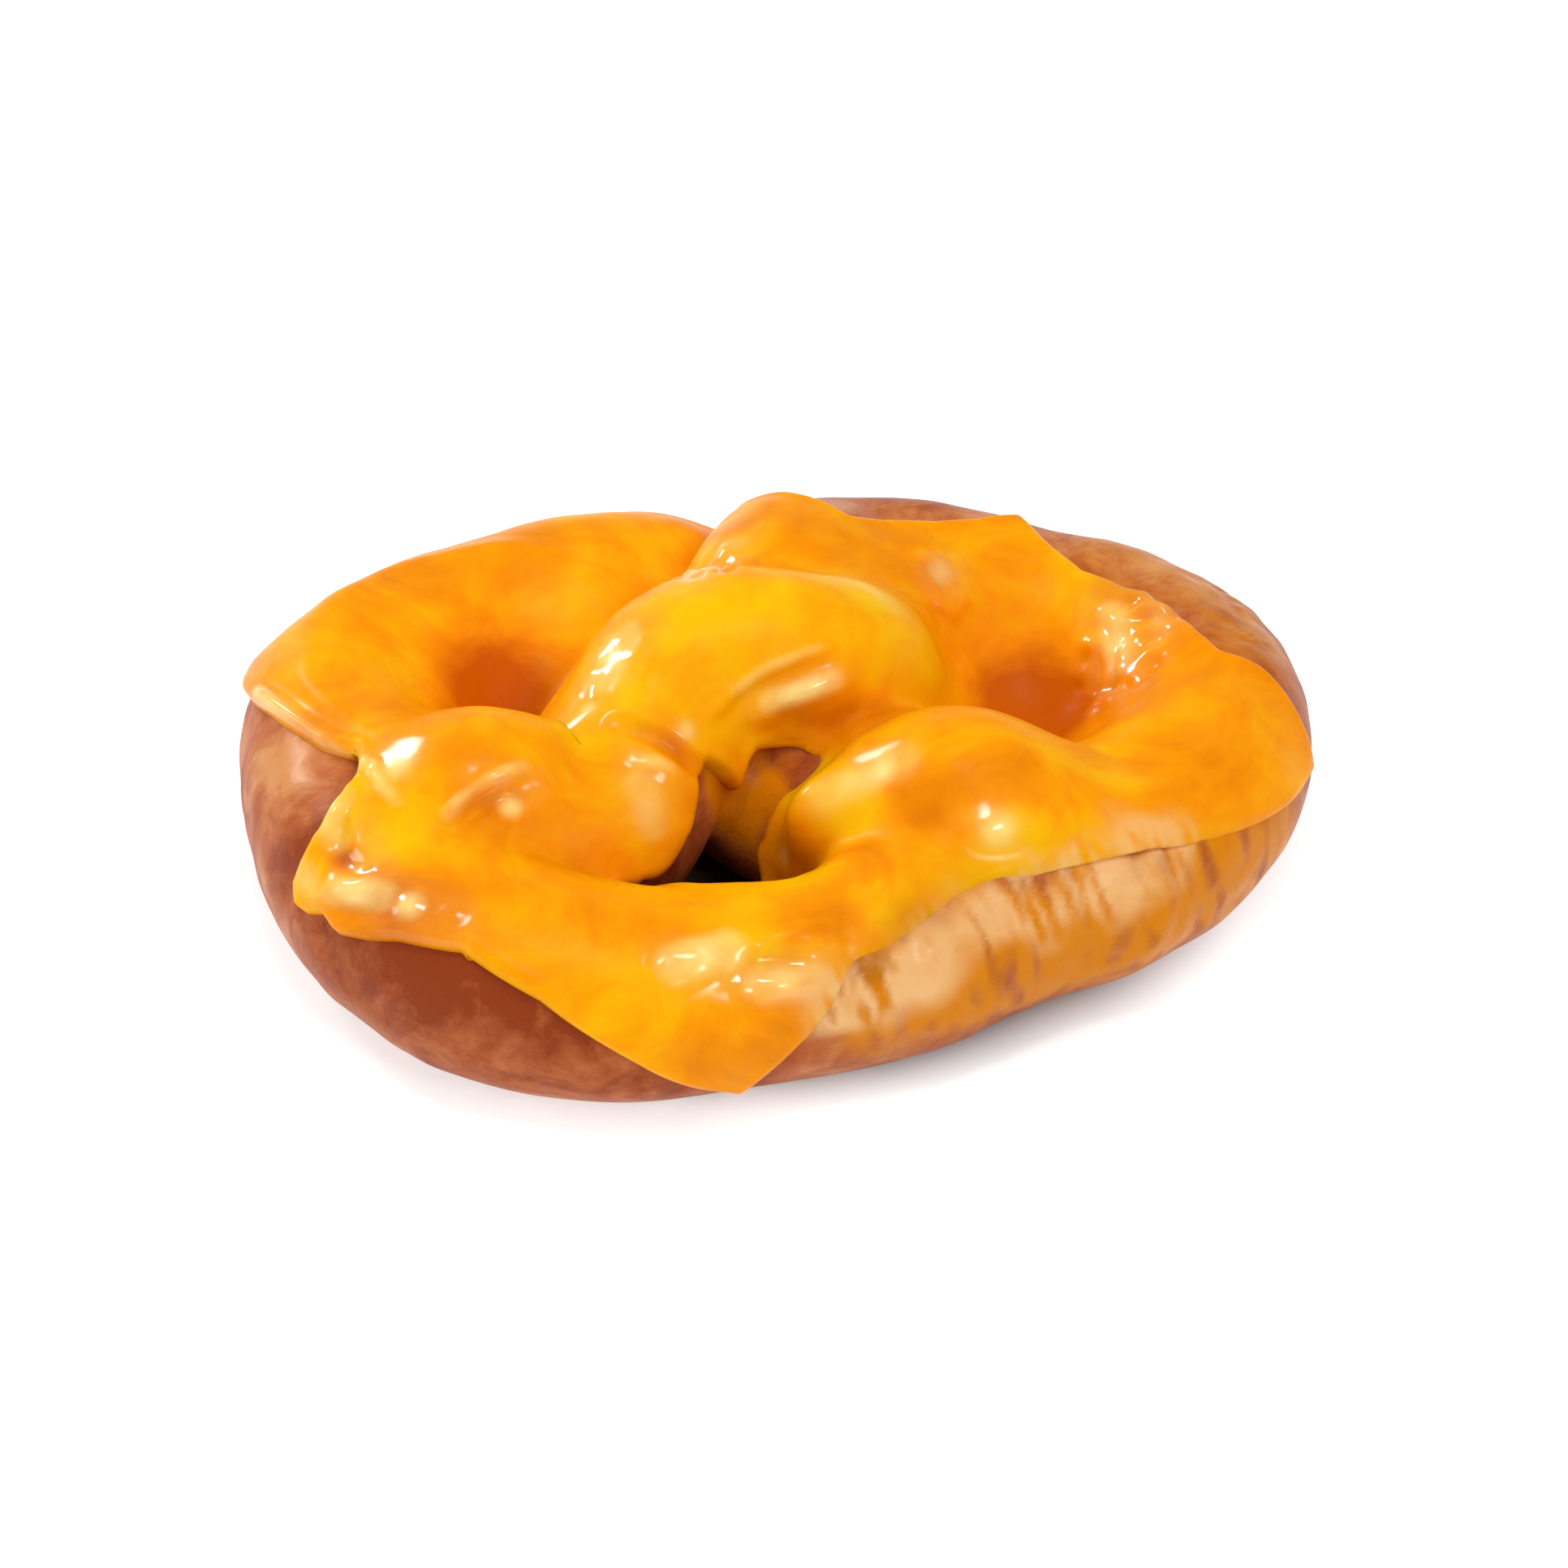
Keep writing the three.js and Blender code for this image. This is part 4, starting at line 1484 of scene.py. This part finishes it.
@dataclass
class Cheese(Part):
    """The melted slices, as one sheet that is draped over the dough. Its sizes are in mm.

    Attributes:
        thickness: The sheet's thickness.
        sag: How far below the sheet's laid underside its real one lies.
        clear: How far its top lies above its laid underside at the very edge.
        fillet: How far it bridges the creases between ropes.
        gap: The gaps to the crust that its underside fills: the least and the most.
        resting: How wide a gap is where it stops filling it.
        bowls: The hollows that it sags into.
        pool: The cheese that fills the back of the right dip, as x, y, z and radius.
        pool_reach: How far the pool runs into what lies round it.
        edge: At each angle round the ring, in degrees, how far the sheet runs past the crest of
            the ring's rope, measured over the rope.
        hole: The outline of the open front hole, in plan.
        bare_wall: The bare part of the hole's left wall.
        slant: The plane of the tongues' outlines, which faces the front and the sky: what y and z
            add to its upward axis, and the height of its 0.
        aprons: The outlines of the tongues that run down the hole's walls, across and up.
        above: How high above the ring's crest the sheet is let fall from.
        fall: How far it falls at most.
        levels: The grid's cells along a side as it gets finer.
        passes: How often it is evened out at each of those.
        hole_passes: How often the hole's rim is evened out.
        settlings: How often the whole sheet is evened out and settled, and by what share each time.
        smoothings: How often it is evened out after that, and by what share.
        rim: Its edge.
        swells: Its broad lumps.
        reliefs: Its folds, curls, creases, lumps and ripples.
        films: Where it has run so thin that the crust shows through.
        fat_and_highlights: Where pale fat and painted highlights lie on it.
        tone_light_and_shade: Where it is deeper in colour, or more golden if negative; partly its own
            tone, partly painted shade and painted light.
        low: The heights between which the hollows' painted shade fades out.
        inner: How far inside the ring's crest that painted shade sets in.
        hollow_shade: How much painted shade deepens the colour there.
        thin_film: How much of the crust shows through where the edge is feathered.
        shine: Where it glistens.
    """

    twist: Twist = Twist()
    name: str = "melted_cheese_sheet"
    node: str = "cheese"
    slot: str = "melted_cheese"
    finish: CheeseFinish = CheeseFinish()
    thickness: float = 1.9
    sag: float = 0.4
    clear: float = 0.05
    fillet: float = 6.5
    gap: Span = (-0.2, 3)
    resting: Span = (1.5, 4)
    bowls: tuple[Bowl, ...] = (
        Bowl(-40, 13, 20, 13, 0.6, 6, 11),
        Bowl(36, 14, 20, 12, 0.6, 6, 8),
        Bowl(-7, -19, 19, 7, 0.5, 8, 5),
    )
    pool: tuple[tuple[float, ...], ...] = ((27, 43, 13, 13), (18, 38, 17, 12), (11, 31, 19, 11))
    pool_reach: float = 6.0
    edge: tuple[Span, ...] = (
        (-6, 20), (2, 21), (5, 17), (7, 13.5), (11, 7), (14, 0), (18, -2.5), (26, -4.6), (32, -5.4),
        (39, -5.4), (48, 0), (54, 5), (58, -1), (63, -5), (69, -8), (76, -12), (84, -8), (92, -2),
        (100, 8), (108, 13), (116, 15), (124, 16), (150, 18), (158, 19), (166, 20.5), (177, 11),
        (187, 4), (191, -0.5), (195, 0), (199, 5), (202, 9.5), (204.5, 17), (207, 20), (210, 17.5),
        (213, 18.5), (217, 16.5), (221, 14), (229, 11.5), (240, 15), (252, 22), (265, 32),
        (271, 26), (279, 19), (284, 13), (291, 11.5), (301, 9), (310, 8.5), (325, 11.5), (335, 13),
        (345, 17),
    )
    hole: tuple[Span, ...] = (
        (0.5, -4.5), (-3, -4.5), (-7, -7), (-10, -12), (-11.5, -17.5), (-14.3, -21.8),
        (-17.8, -25.5), (-18.3, -28.5), (-13, -31), (-7, -32), (-1, -31.5), (3, -29), (3, -25),
        (0, -20), (-1.6, -14.5), (0, -11), (4, -8.6), (6.2, -6.5), (4, -4.8),
    )
    bare_wall: BareWall = BareWall(-15, -25, 13, 18.5)
    slant: tuple[float, float, float] = (0.616, 0.788, 15)
    aprons: tuple[tuple[Span, ...], ...] = (
        (
            (-11.5, 8.6), (-10.4, 5.6), (-8.6, 3.1), (-6.9, 1.2), (-5.2, -0.2), (-4.4, 0.2),
            (-3.7, 2.2), (-3.1, 4.6), (-2.7, 7.2), (-2.5, 9.2), (-6.9, 10.9),
        ),
        (
            (3.9, -3.0), (1.9, -2.9), (1.2, -4.1), (0.4, -5.2), (-0.8, -6.1), (-1.8, -7.5),
            (-1.9, -9.1), (-0.8, -10.3), (0.9, -9.8), (1.9, -8.6), (2.8, -7.4), (3.9, -6.8),
        ),
    )
    films: tuple[Relief, ...] = (
        Lump((57, 31, 27), 0.9, 9), Lump((50, 33, 26), 0.5, 7), Lump((19.5, -41, 25), 0.9, 6),
    )
    above: float = 36.0
    fall: float = 60.0
    levels: tuple[int, ...] = (54, 108, 216)
    passes: tuple[int, ...] = (24, 12, 8)
    hole_passes: int = 5
    settlings: tuple[int, float] = (6, 0.7)
    smoothings: tuple[int, float] = (4, 0.5)
    rim: Rim = Rim()
    low: Span = (14, 27)
    inner: Span = (6, 14)
    hollow_shade: float = 0.5
    thin_film: float = 0.3
    swells: Swells = ((0.35, Unevenness(7, 24)), (0.12, Unevenness(8, 10)))
    reliefs: tuple[Relief, ...] = (
        # the rolled edge of the left slice, and where it turns down to the front corner
        Bead(ROLLED_EDGE, 1.0, 1.7), Bead(EDGE_TURN, 0.7, 1.6),
        Bead(((-70, 9, 28), (-62, -3, 31), (-56, -10, 32.5)), -0.5, 2.6),
        # the front corner, curled over twice
        Bead(((-57, -20, 30.5), (-60, -25.5, 28), (-63, -30, 23.5), (-62, -34, 21)), 1.0, 2.2),
        Bead(((-57.5, -26, 29.5), (-57, -30, 27.5), (-54, -33, 27.5)), -1.3, 2.4),
        Bead(((-58.5, -33.5, 24), (-55, -35.5, 26), (-50.5, -37, 27.5)), 1.3, 2.6),
        Bead(((-57, -37, 21), (-50, -40.5, 23.5), (-42, -44, 24.5)), 0.6, 2.2),
        Lump((-47.5, -40.3, 27.5), 0.8, 3.2), Lump((-41.5, -42.5, 27.5), 0.6, 3.0),
        # the fold on the left lobe
        Bead(LEFT_FOLD, 1.2, 1.6),
        Bead(((-42, -28, 31), (-38.5, -24.9, 32), (-35.5, -23.7, 32.5), (-32, -22.5, 32)), -1.0, 2.4),
        Lump((-34.8, -25.8, 31.5), 0.6, 2.6),
        # the seam between the middle crossing and the left lobe's end
        Bead(((-21, -10.4, 34.6), (-17, -11.5, 34), (-12, -12.7, 31.3), (-9, -12.9, 27.5)), -1.5, 2.4),
        Bead(((-18, -14.5, 32.5), (-14.3, -15.8, 30.7), (-11.5, -16.5, 28.5)), 0.8, 2.6),
        # the crease between the middle crossing and the right lobe, and the lobe's swollen end
        Bead(
            ((0, -5.5, 28), (4, -7.8, 27), (8, -7.5, 28.8), (13.9, -5.4, 31), (18, -4, 32)),
            -1.4,
            2.6,
        ),
        Lump((5.5, -17.5, 25), 2.0, 9.5), Lump((3.5, -13, 24), 2.4, 7.5),
        # the fold low on the middle crossing
        Bead(
            ((-9, -7, 32.8), (-5.1, -3.4, 34.8), (-1.1, -1.5, 37), (3, -0.3, 38.3), (8, 1.6, 39)),
            0.75,
            1.6,
        ),
        Bead(((-4, -4.2, 33.5), (3, -2, 36), (9, -0.5, 37.5)), -0.5, 2.4),
        Bead(((-3, -4.5, 32), (3.8, -3, 34), (10.5, -1, 35.3)), 0.45, 2.6),
        # the step down from the middle crossing to the right dip
        Bead(((17, 25, 30), (22, 26.5, 25.5), (26.5, 24.5, 21), (29.5, 21.5, 17.5)), 0.8, 1.6),
        # ripples where the fat boiled, and the lumps at the front
        Wrinkles((49.5, 20, 24), 12, 0.65, 5.0, 21), Lump((48.7, 27, 25.6), 1.0, 3.0),
        Lump((50.5, 21, 24), 0.8, 2.6), Wrinkles((56, 28, 27), 9, 0.5, 4.5, 22),
        Wrinkles((-8, 22, 39), 11, 0.6, 4.5, 23), Wrinkles((25, 31, 28), 8, 0.45, 4.5, 24),
        Wrinkles((-22, -1, 37), 9, 0.35, 4.5, 25),
        Bead(((-13, -49.5, 24), (-9, -48, 25), (-5.5, -46.5, 25.5)), 1.3, 4.2),
        Bead(((-3, -49.5, 21.5), (2.5, -49.5, 21.3), (6, -48.5, 21.5)), 1.1, 3.2),
        Bead(((-5, -45.5, 26), (0, -45, 26), (7, -43.5, 25.5)), 0.9, 3.2),
        Bead(((-5, -48, 23.5), (0, -47.3, 23.6), (6, -46, 23.5)), -0.7, 3.0),
        Lump((29.5, -27.5, 30), 0.5, 4.5),
    )
    # Pale fat and painted highlights on the crests, edges, folds and ripples.
    fat_and_highlights: tuple[Relief, ...] = (
        Bead(ROLLED_EDGE, 0.55, 1.5), Bead(EDGE_TURN, 0.4, 1.3), Lump((-50, -17.8, 33.6), 0.7, 3.6),
        Bead(((-57, -21, 30.5), (-59, -25.5, 28.5), (-58, -28, 28.5)), 0.5, 2.0),
        Bead(((-58, -34.5, 25), (-53, -37, 26.5), (-51, -38, 27)), 0.9, 2.8),
        Lump((-47.3, -40.6, 27.6), 0.9, 2.8),
        Bead(((-64, -24, 24), (-62, -29, 24), (-60, -33, 23)), 0.5, 2.2), Bead(LEFT_FOLD, 0.5, 1.4),
        Lump((-34.6, -25.2, 32), 0.7, 2.4), Bead(((-20.5, 3.5, 38), (-23.5, -2, 36.5)), 0.95, 3.8),
        Lump((-25, -7, 34.7), 0.6, 2.0), Lump((-11.5, -9.8, 33), 0.5, 1.8),
        Bead(((-18.5, -15, 32), (-13, -15.5, 31)), 0.45, 1.6),
        Bead(((-17.5, -18.5, 30), (-15.5, -23, 27)), 0.5, 3.4),
        Bead(((0, -3.8, 33.3), (4, -2.8, 34.2), (8, -1.2, 35)), 0.9, 2.4),
        Bead(((-5.1, -3.4, 34.8), (-1.1, -1.5, 37), (3, -0.3, 38.3), (7, 1.4, 39)), 0.3, 1.1),
        Bead(((17.5, -18, 34), (8, -17.6, 28)), 0.5, 3.4), Lump((15, -17.8, 33), 0.6, 2.8),
        Lump((30, -27.6, 30.2), 0.6, 3.6), Bead(((4, -24.5, 20), (11.5, -26.5, 22)), 0.5, 1.6),
        Bead(((-12.5, -49, 24.5), (-6, -46.8, 25.5)), 1.0, 3.8),
        Bead(((-2, -49.3, 21.5), (5, -48.6, 21.8)), 0.8, 3.0),
        Bead(((48.7, 27, 25.6), (49.5, 19, 22.8)), 0.85, 3.2),
        Bead(((55, 26.5, 28.3), (55.1, 20.5, 27)), 0.3, 2.4), Lump((24.4, 33.2, 28.8), 0.4, 3.0),
        Bead(((-6, 29, 38), (-11, 15, 41)), 0.4, 3.6),
        Bead(((3, 17, 41), (10.8, 17.4, 38.6), (16.5, 12.7, 37.4)), 0.25, 2.4),
    )
    # The cheese's own golden and orange tones, painted shade in the dips, folds, creases and under the
    # middle crossing, and painted light on the shaded flanks of the right lobe's end.
    tone_light_and_shade: tuple[Relief, ...] = (
        Bead(((-7, 7.5, 42), (1, 8, 42.5), (10, 8, 40.5)), -0.75, 14),
        Bead(((-16, 7, 40), (-21, -2, 37), (-26, -7.5, 34)), -0.6, 10),
        Bead(((-54, -22, 31), (-51, -27.5, 30), (-43.5, -30, 30)), -0.8, 8),
        Lump((10, -21, 28), -1.1, 7.5), Lump((4.5, -11.5, 26), -1.1, 7),
        Lump((6.5, -24, 20), -0.6, 5.5), Lump((3, -30, 26), -0.8, 9),
        Bead(((3, -15, 24), (4, -21, 20)), 0.2, 5), Bead(((25, -31, 29), (41, -29, 27.5)), -1.0, 8),
        Bead(((-5, -46, 25), (6, -46, 24)), -0.45, 4.5), Lump((-40, 17, 19), 1.3, 15),
        Lump((38, 18, 14), 1.5, 14), Lump((-33, 34, 29), 0.2, 9), Lump((5, -40, 27), 0.35, 9),
        Lump((31, -20, 35), 0.3, 8), Bead(((18, -24, 33), (21, -29, 30.5)), 0.6, 6),
        Lump((14.6, -41, 29), -0.6, 8), Bead(((-2, 33, 38), (8, 30, 36)), 0.5, 7),
        Lump((57, -11, 28), 0.25, 12), Bead(((-14, -52, 17), (-4, -55, 12)), 0.75, 10),
        Bead(((-40, -26.5, 31.5), (-35, -24, 32.5)), 0.6, 3),
        Bead(((-54, -39, 24), (-45, -43.5, 26)), 0.35, 5),
        Bead(((1, -5, 29.5), (14, -2.5, 30.5), (20, -1, 29)), 0.8, 4.5),
        Bead(((-17, -11.7, 34), (-12, -12.8, 31), (-9, -12.9, 27)), 0.7, 2.6),
        Lump((-57, -30, 27.5), 1.2, 3.0),
    )
    shine: tuple[Relief, ...] = (
        Bead(((-18, 5, 39), (-22, 0, 37.5), (-25, -6.5, 34.5)), 1.0, 6.5),
        Bead(((-1.2, -4, 33), (8.6, -1.1, 35)), 1.0, 3.5),
        Bead(((17, -18, 34), (8, -17.5, 28)), 1.0, 5), Lump((30, -27.5, 30), 1.0, 5.5),
        Bead(((-39, -22, 34), (-33, -22, 33)), 0.9, 4.5), Lump((-50, -18, 33.5), 1.2, 6),
        Bead(((-57, -26, 29.5), (-51, -37.5, 27), (-42, -43, 27)), 1.1, 6),
        Bead(((-12, -48.5, 25), (-3, -49, 23), (8, -47.5, 22)), 1.1, 5.5),
        Bead(((48, 28, 26), (49.5, 19, 23), (50, 11, 23)), 1.3, 7),
        Bead(((55, 27, 28), (55, 20, 27)), 1.0, 5), Lump((24.5, 33, 29), 0.9, 6),
        Bead(((-5, 30.5, 37), (-11, 12, 41)), 0.9, 6),
        Bead(((-17, -14, 32), (-16, -20.5, 29)), 0.9, 6),
        Bead(((-72, 8.5, 26), (-65, -3.3, 30), (-53.7, -16.8, 32)), 0.7, 3),
        Lump((-11.7, -9.8, 33), 1.0, 3), Lump((0.5, -15.5, 19), 1.0, 5),
        Lump((9.5, -26.5, 21.5), 0.8, 5),
    )

    def sheet_edge(self, angle: Array) -> Array:
        """How far the sheet runs past the ring's crest at angles in degrees."""
        places, reaches = np.array(self.edge).T
        return np.interp(angle, places, reaches, period=360)

    def spread(self, cells: int, ground: Sampled) -> Array:
        """Lays a square grid over the dough, from the middle out over the ring.

        Args:
            cells: The grid's cells along a side.
            ground: What it lies on.

        Returns:
            The grid's points, on the surface.
        """
        line = np.linspace(-1, 1, cells + 1)
        u, v = np.meshgrid(line, line, indexing="ij")
        share = np.maximum(np.abs(u), np.abs(v))
        wide = np.abs(u) >= np.abs(v)
        with np.errstate(divide="ignore", invalid="ignore"):
            turn = np.where(wide, 45 * v / np.where(u == 0, 1, u), 90 - 45 * u / np.where(v == 0, 1, v))
        angle = turn + np.where(np.where(wide, u, v) < 0, 180, 0)
        rows = self.twist.ring.stations(angle)
        crest = np.hypot(rows[..., 0], rows[..., 1])
        reach = share * (crest + self.sheet_edge(angle))
        lean = np.maximum(reach - crest, 0) / (rows[..., 3] + self.thickness)
        outward = rows[..., :3] * (1, 1, 0) / crest[..., None]
        away = outward * np.sin(lean)[..., None] + np.array([0, 0, 1]) * np.cos(lean)[..., None]
        foot = outward * np.minimum(reach, crest)[..., None]
        foot[..., 2] = rows[..., 2]
        return ground.walk(foot + away * self.above, -away, self.fall)

    def draped(self, ground: Sampled) -> Skin:
        """Drapes the sheet, evening its cells out over the steep walls.

        Args:
            ground: What it lies on.

        Returns:
            The sheet's underside as an open mesh.
        """
        points = None
        for cells, passes in zip(self.levels, self.passes):
            laid = self.spread(cells, ground)
            if points is not None:
                finer = np.zeros_like(laid)
                finer[::2, ::2] = points
                finer[1::2, ::2] = (points[1:] + points[:-1]) / 2
                finer[:, 1::2] = (finer[:, 2::2] + finer[:, :-2:2]) / 2
                laid[1:-1, 1:-1] = ground.settle(finer[1:-1, 1:-1])
            points = laid
            for _ in range(passes):
                inner = points[2:, 1:-1] + points[:-2, 1:-1] + points[1:-1, 2:] + points[1:-1, :-2]
                points[1:-1, 1:-1] = ground.settle(inner / 4, 1)
        count = self.levels[-1] + 1
        number = np.arange(count * count).reshape(count, count)
        corners = [number[:-1, :-1], number[1:, :-1], number[1:, 1:], number[:-1, 1:]]
        quads = np.stack([corner.ravel() for corner in corners], axis=1)
        return Skin(points.reshape(-1, 3), quads)

    def beyond_hole(self, points: Array) -> Array:
        """How far points lie outside the front hole; negative where the sheet is open."""
        beyond = np.minimum(outside(self.hole, points[:, :2]), self.bare_wall.outside(points))
        by_y, by_z, level = self.slant
        up = points[:, 1] * by_y + (points[:, 2] - level) * by_z
        for apron in self.aprons:
            beyond = np.maximum(beyond, -outside(apron, np.stack([points[:, 0], up], axis=1)))
        return beyond

    def punched(self, skin: Skin, ground: Sampled) -> Skin:
        """Opens the front hole in the sheet.

        Args:
            skin: The whole sheet.
            ground: What it lies on.

        Returns:
            The sheet with a smooth hole.
        """
        beyond = self.beyond_hole(skin.points)
        keep = (beyond >= 0)[skin.quads].sum(axis=1) >= 2
        beyond = beyond[np.unique(skin.quads[keep])]
        skin = skin.kept(keep)
        size = len(skin.points)
        edges = both_ways(skin.edges())
        inner, outer = edges[(beyond[edges[:, 0]] < 0) & (beyond[edges[:, 1]] >= 0)].T
        share = beyond[outer] / (beyond[outer] - beyond[inner])
        spots = skin.points[outer] + (skin.points[inner] - skin.points[outer]) * share[:, None]
        count = np.bincount(inner, minlength=size)
        moved = count > 0
        skin.points[moved] = gathered(inner, spots, size)[moved] / count[moved][:, None]

        here, there = both_ways(skin.rim()).T
        count = np.bincount(here, minlength=size)[moved][:, None]
        for _ in range(self.hole_passes):
            around = gathered(here, skin.points[there], size)[moved] / count
            skin.points[moved] = ground.settle((skin.points[moved] + around) / 2, 1)
        return skin

    def build(self, parts: Sequence[Array], lattice: Lattice) -> bpy.types.Object:
        """Builds the sheet.

        Args:
            parts: The ropes, sampled.
            lattice: What they are sampled on.

        Returns:
            The piece.
        """
        skin, on_rim = self.laid(self.ground(parts, lattice))
        normals = skin.normals()
        face = skin.points + normals * self.thickness
        inward = distance_to(skin.points, skin.points[on_rim])
        rim = self.rim
        feathered = rim.feather(plan_angle(skin.points))
        thin = feathered * (1 - smoothstep(inward, *rim.thin))
        dive = rim.dive * feathered * rim.near(inward)
        height = self.thickness + rim.swollen(inward) + swelling(self.swells, skin.points)
        height = (height + total(self.reliefs, face)) * (1 - rim.thinner * thin)
        rise = height * rim.profile(inward, feathered) + self.clear - dive
        off_dough = self.twist.joined(parts, lattice, Dough.fillet).read(skin.points)
        filling = 1 - smoothstep(off_dough, *self.resting)
        sunk = self.sag + np.clip(off_dough, *self.gap) * filling + dive
        top = skin.points + normals * rise[:, None]
        under = skin.points - normals * sunk[:, None]

        # The crust's painted highlight streaks run on over the feathered edge.
        run_on_highlight = smoothstep(feathered, *rim.run_on_highlight_from) * (1 - smoothstep(inward, *rim.run_on_highlight))
        # Painted shade: the colour deepens low down inside the ring's crest, in the dips.
        low = 1 - smoothstep(face[:, 2], *self.low)
        inside = self.twist.ring.crest(plan_angle(face)) - np.hypot(face[:, 0], face[:, 1])
        hollow = low * smoothstep(inside, *self.inner)
        readings = {
            Reading.TONE_LIGHT_AND_SHADE: total(self.tone_light_and_shade, face) + self.hollow_shade * hollow,
            Reading.SHINE: total(self.shine, face),
            Reading.THIN: self.thin_film * thin + total(self.films, face),
            Reading.STREAK: total(self.fat_and_highlights, face),
            Reading.RUN: covered(HIGHLIGHT_BANDS, STREAKED, face) * run_on_highlight,
        }
        both_sides = {reading: np.tile(values, 2) for reading, values in readings.items()}
        return self.dress(skin.closed(top, under), both_sides)

    def ground(self, parts: Sequence[Array], lattice: Lattice) -> Sampled:
        """What the sheet lies on: the ropes, the pool and the hollows, run together."""
        x, y, z = lattice.axes()
        pool = Rope(curve_through(self.pool, self.twist.spacing)).sample(lattice)
        values = self.twist.joined(parts, lattice, self.fillet).values
        values = blend(values, pool, self.pool_reach).astype(np.float32)
        for bowl in self.bowls:
            values = blend(values, bowl.distance(x, y, z), bowl.reach).astype(np.float32)
        return Sampled(values, lattice)

    def laid(self, ground: Sampled) -> tuple[Skin, Array]:
        """Lays the sheet and evens it out.

        Args:
            ground: What it lies on.

        Returns:
            The sheet with its hole, and True for each vertex on its rim.
        """
        skin = self.punched(self.draped(ground), ground)
        on_rim = np.zeros(len(skin.points), bool)
        on_rim[skin.rim()[:, 0]] = True
        times, share = self.settlings
        for _ in range(times):
            skin = skin.smoothed(1, share, on_rim)
            settled = ground.settle(skin.points, 1)
            skin.points = np.where(on_rim[:, None], skin.points, settled)
        return skin.smoothed(*self.smoothings, on_rim), on_rim


# ------------------------------------------------------------------ the studio


@dataclass(frozen=True)
class SoftBox:
    """A soft square light that looks at the object.

    Attributes:
        name: The lamp's name.
        place: Where it hangs, in metres.
        size: Its side in metres.
        power: Its power in watts.
        glints: Whether glossy surfaces show it.
    """

    name: str
    place: Place
    size: float
    power: float
    glints: bool = True

    def build(self) -> None:
        """Hangs the light."""
        light = bpy.data.lights.new(self.name, "AREA")
        light.energy = self.power
        light.size = self.size
        lamp = bpy.data.objects.new(self.name, light)
        lamp.visible_glossy = self.glints
        lamp.location = self.place
        lamp.rotation_mode = "QUATERNION"
        lamp.rotation_quaternion = Vector(self.place).to_track_quat("Z", "Y")
        bpy.context.scene.collection.objects.link(lamp)


@dataclass(frozen=True)
class Camera:
    """The view from the front, looking down.

    Attributes:
        elevation: How far up it stands, in degrees.
        distance: Its distance from the target, in metres.
        target: What it looks at, in metres.
        scale: Image pixels per mm at the target.
        target_pixel: Where the target lies in the image.
        image: The image's side in pixels.
        sensor: The sensor's side in mm.
    """

    elevation: float = 38.0
    distance: float = 0.62
    target: Place = (-0.0009, -0.0045, 0.0147)
    scale: float = 8.82
    target_pixel: Span = (951, 976)
    image: int = 1932
    sensor: float = 36.0

    def build(self) -> None:
        """Sets the camera up."""
        data = bpy.data.cameras.new("camera")
        camera = bpy.data.objects.new("camera", data)
        tilt = math.radians(self.elevation)
        back = Vector((0, -math.cos(tilt), math.sin(tilt)))
        camera.location = Vector(self.target) + back * self.distance
        camera.rotation_mode = "QUATERNION"
        camera.rotation_quaternion = (-back).to_track_quat("-Z", "Y")
        data.sensor_width = self.sensor
        data.lens = self.scale * self.distance / MM / self.image * self.sensor
        data.shift_x = (self.image / 2 - self.target_pixel[0]) / self.image
        data.shift_y = (self.target_pixel[1] - self.image / 2) / self.image
        bpy.context.scene.collection.objects.link(camera)
        bpy.context.scene.camera = camera


@dataclass(frozen=True)
class Studio:
    """The floor, the sky, the lights and the camera.

    Attributes:
        floor_half: Half the floor's side, in metres.
        sky: How bright the sky is.
        lights: The lights.
    """

    floor_half: float = 3.0
    sky: float = 0.4
    lights: tuple[SoftBox, ...] = (
        SoftBox("overhead", (0.4, -0.2, 1.05), 1.2, 6.6, glints=False),
        SoftBox("left_fill", (-0.75, -0.65, 0.55), 0.8, 2.0, glints=False),
        SoftBox("back_left_window", (-0.62, 0.55, 0.43), 0.19, 2.7),
        SoftBox("small_overhead", (-0.05, -0.1, 0.9), 0.14, 1.2),
        SoftBox("front_right_window", (0.35, -0.6, 0.6), 0.16, 0.8),
        SoftBox("low_left_window", (-0.8, 0.1, 0.14), 0.25, 0.6),
    )

    def build(self) -> None:
        """Builds the studio."""
        half = self.floor_half
        mesh = bpy.data.meshes.new("floor")
        corners = [(-half, -half, 0), (half, -half, 0), (half, half, 0), (-half, half, 0)]
        mesh.from_pydata(corners, [], [(0, 1, 2, 3)])
        floor = bpy.data.objects.new("floor", mesh)
        floor.data.materials.append(FloorFinish().material())
        bpy.context.scene.collection.objects.link(floor)
        world = bpy.data.worlds.new("soft_sky")
        world.use_nodes = True
        background = world.node_tree.nodes["Background"]
        background.inputs["Color"].default_value = (1, 1, 1, 1)
        background.inputs["Strength"].default_value = self.sky
        bpy.context.scene.world = world
        bpy.context.scene.view_settings.view_transform = "Standard"
        for light in self.lights:
            light.build()
        Camera().build()


# ------------------------------------------------------------------ the whole


@dataclass
class Pretzel:
    """The whole pretzel, dough and cheese.

    Attributes:
        twist: The ropes.
        lattice: What they are sampled on.
    """

    twist: Twist = Twist()
    lattice: Lattice = Lattice((-86, -74, -6), (90, 74, 54), 0.9)

    def build(self) -> list[bpy.types.Object]:
        """Builds both pieces and reports them."""
        parts = self.twist.sample(self.lattice)
        made = []
        for part in (Dough(self.twist), Cheese(self.twist)):
            made.append(part.build(parts, self.lattice))
            LOG.info("%s: %d faces", part.name, len(made[-1].data.polygons))
        return made


def main() -> None:
    """Builds the studio and the pretzel."""
    logging.basicConfig(level=logging.INFO, format="%(name)s: %(message)s")
    Studio().build()
    Pretzel().build()


if __name__ == "__main__":
    main()
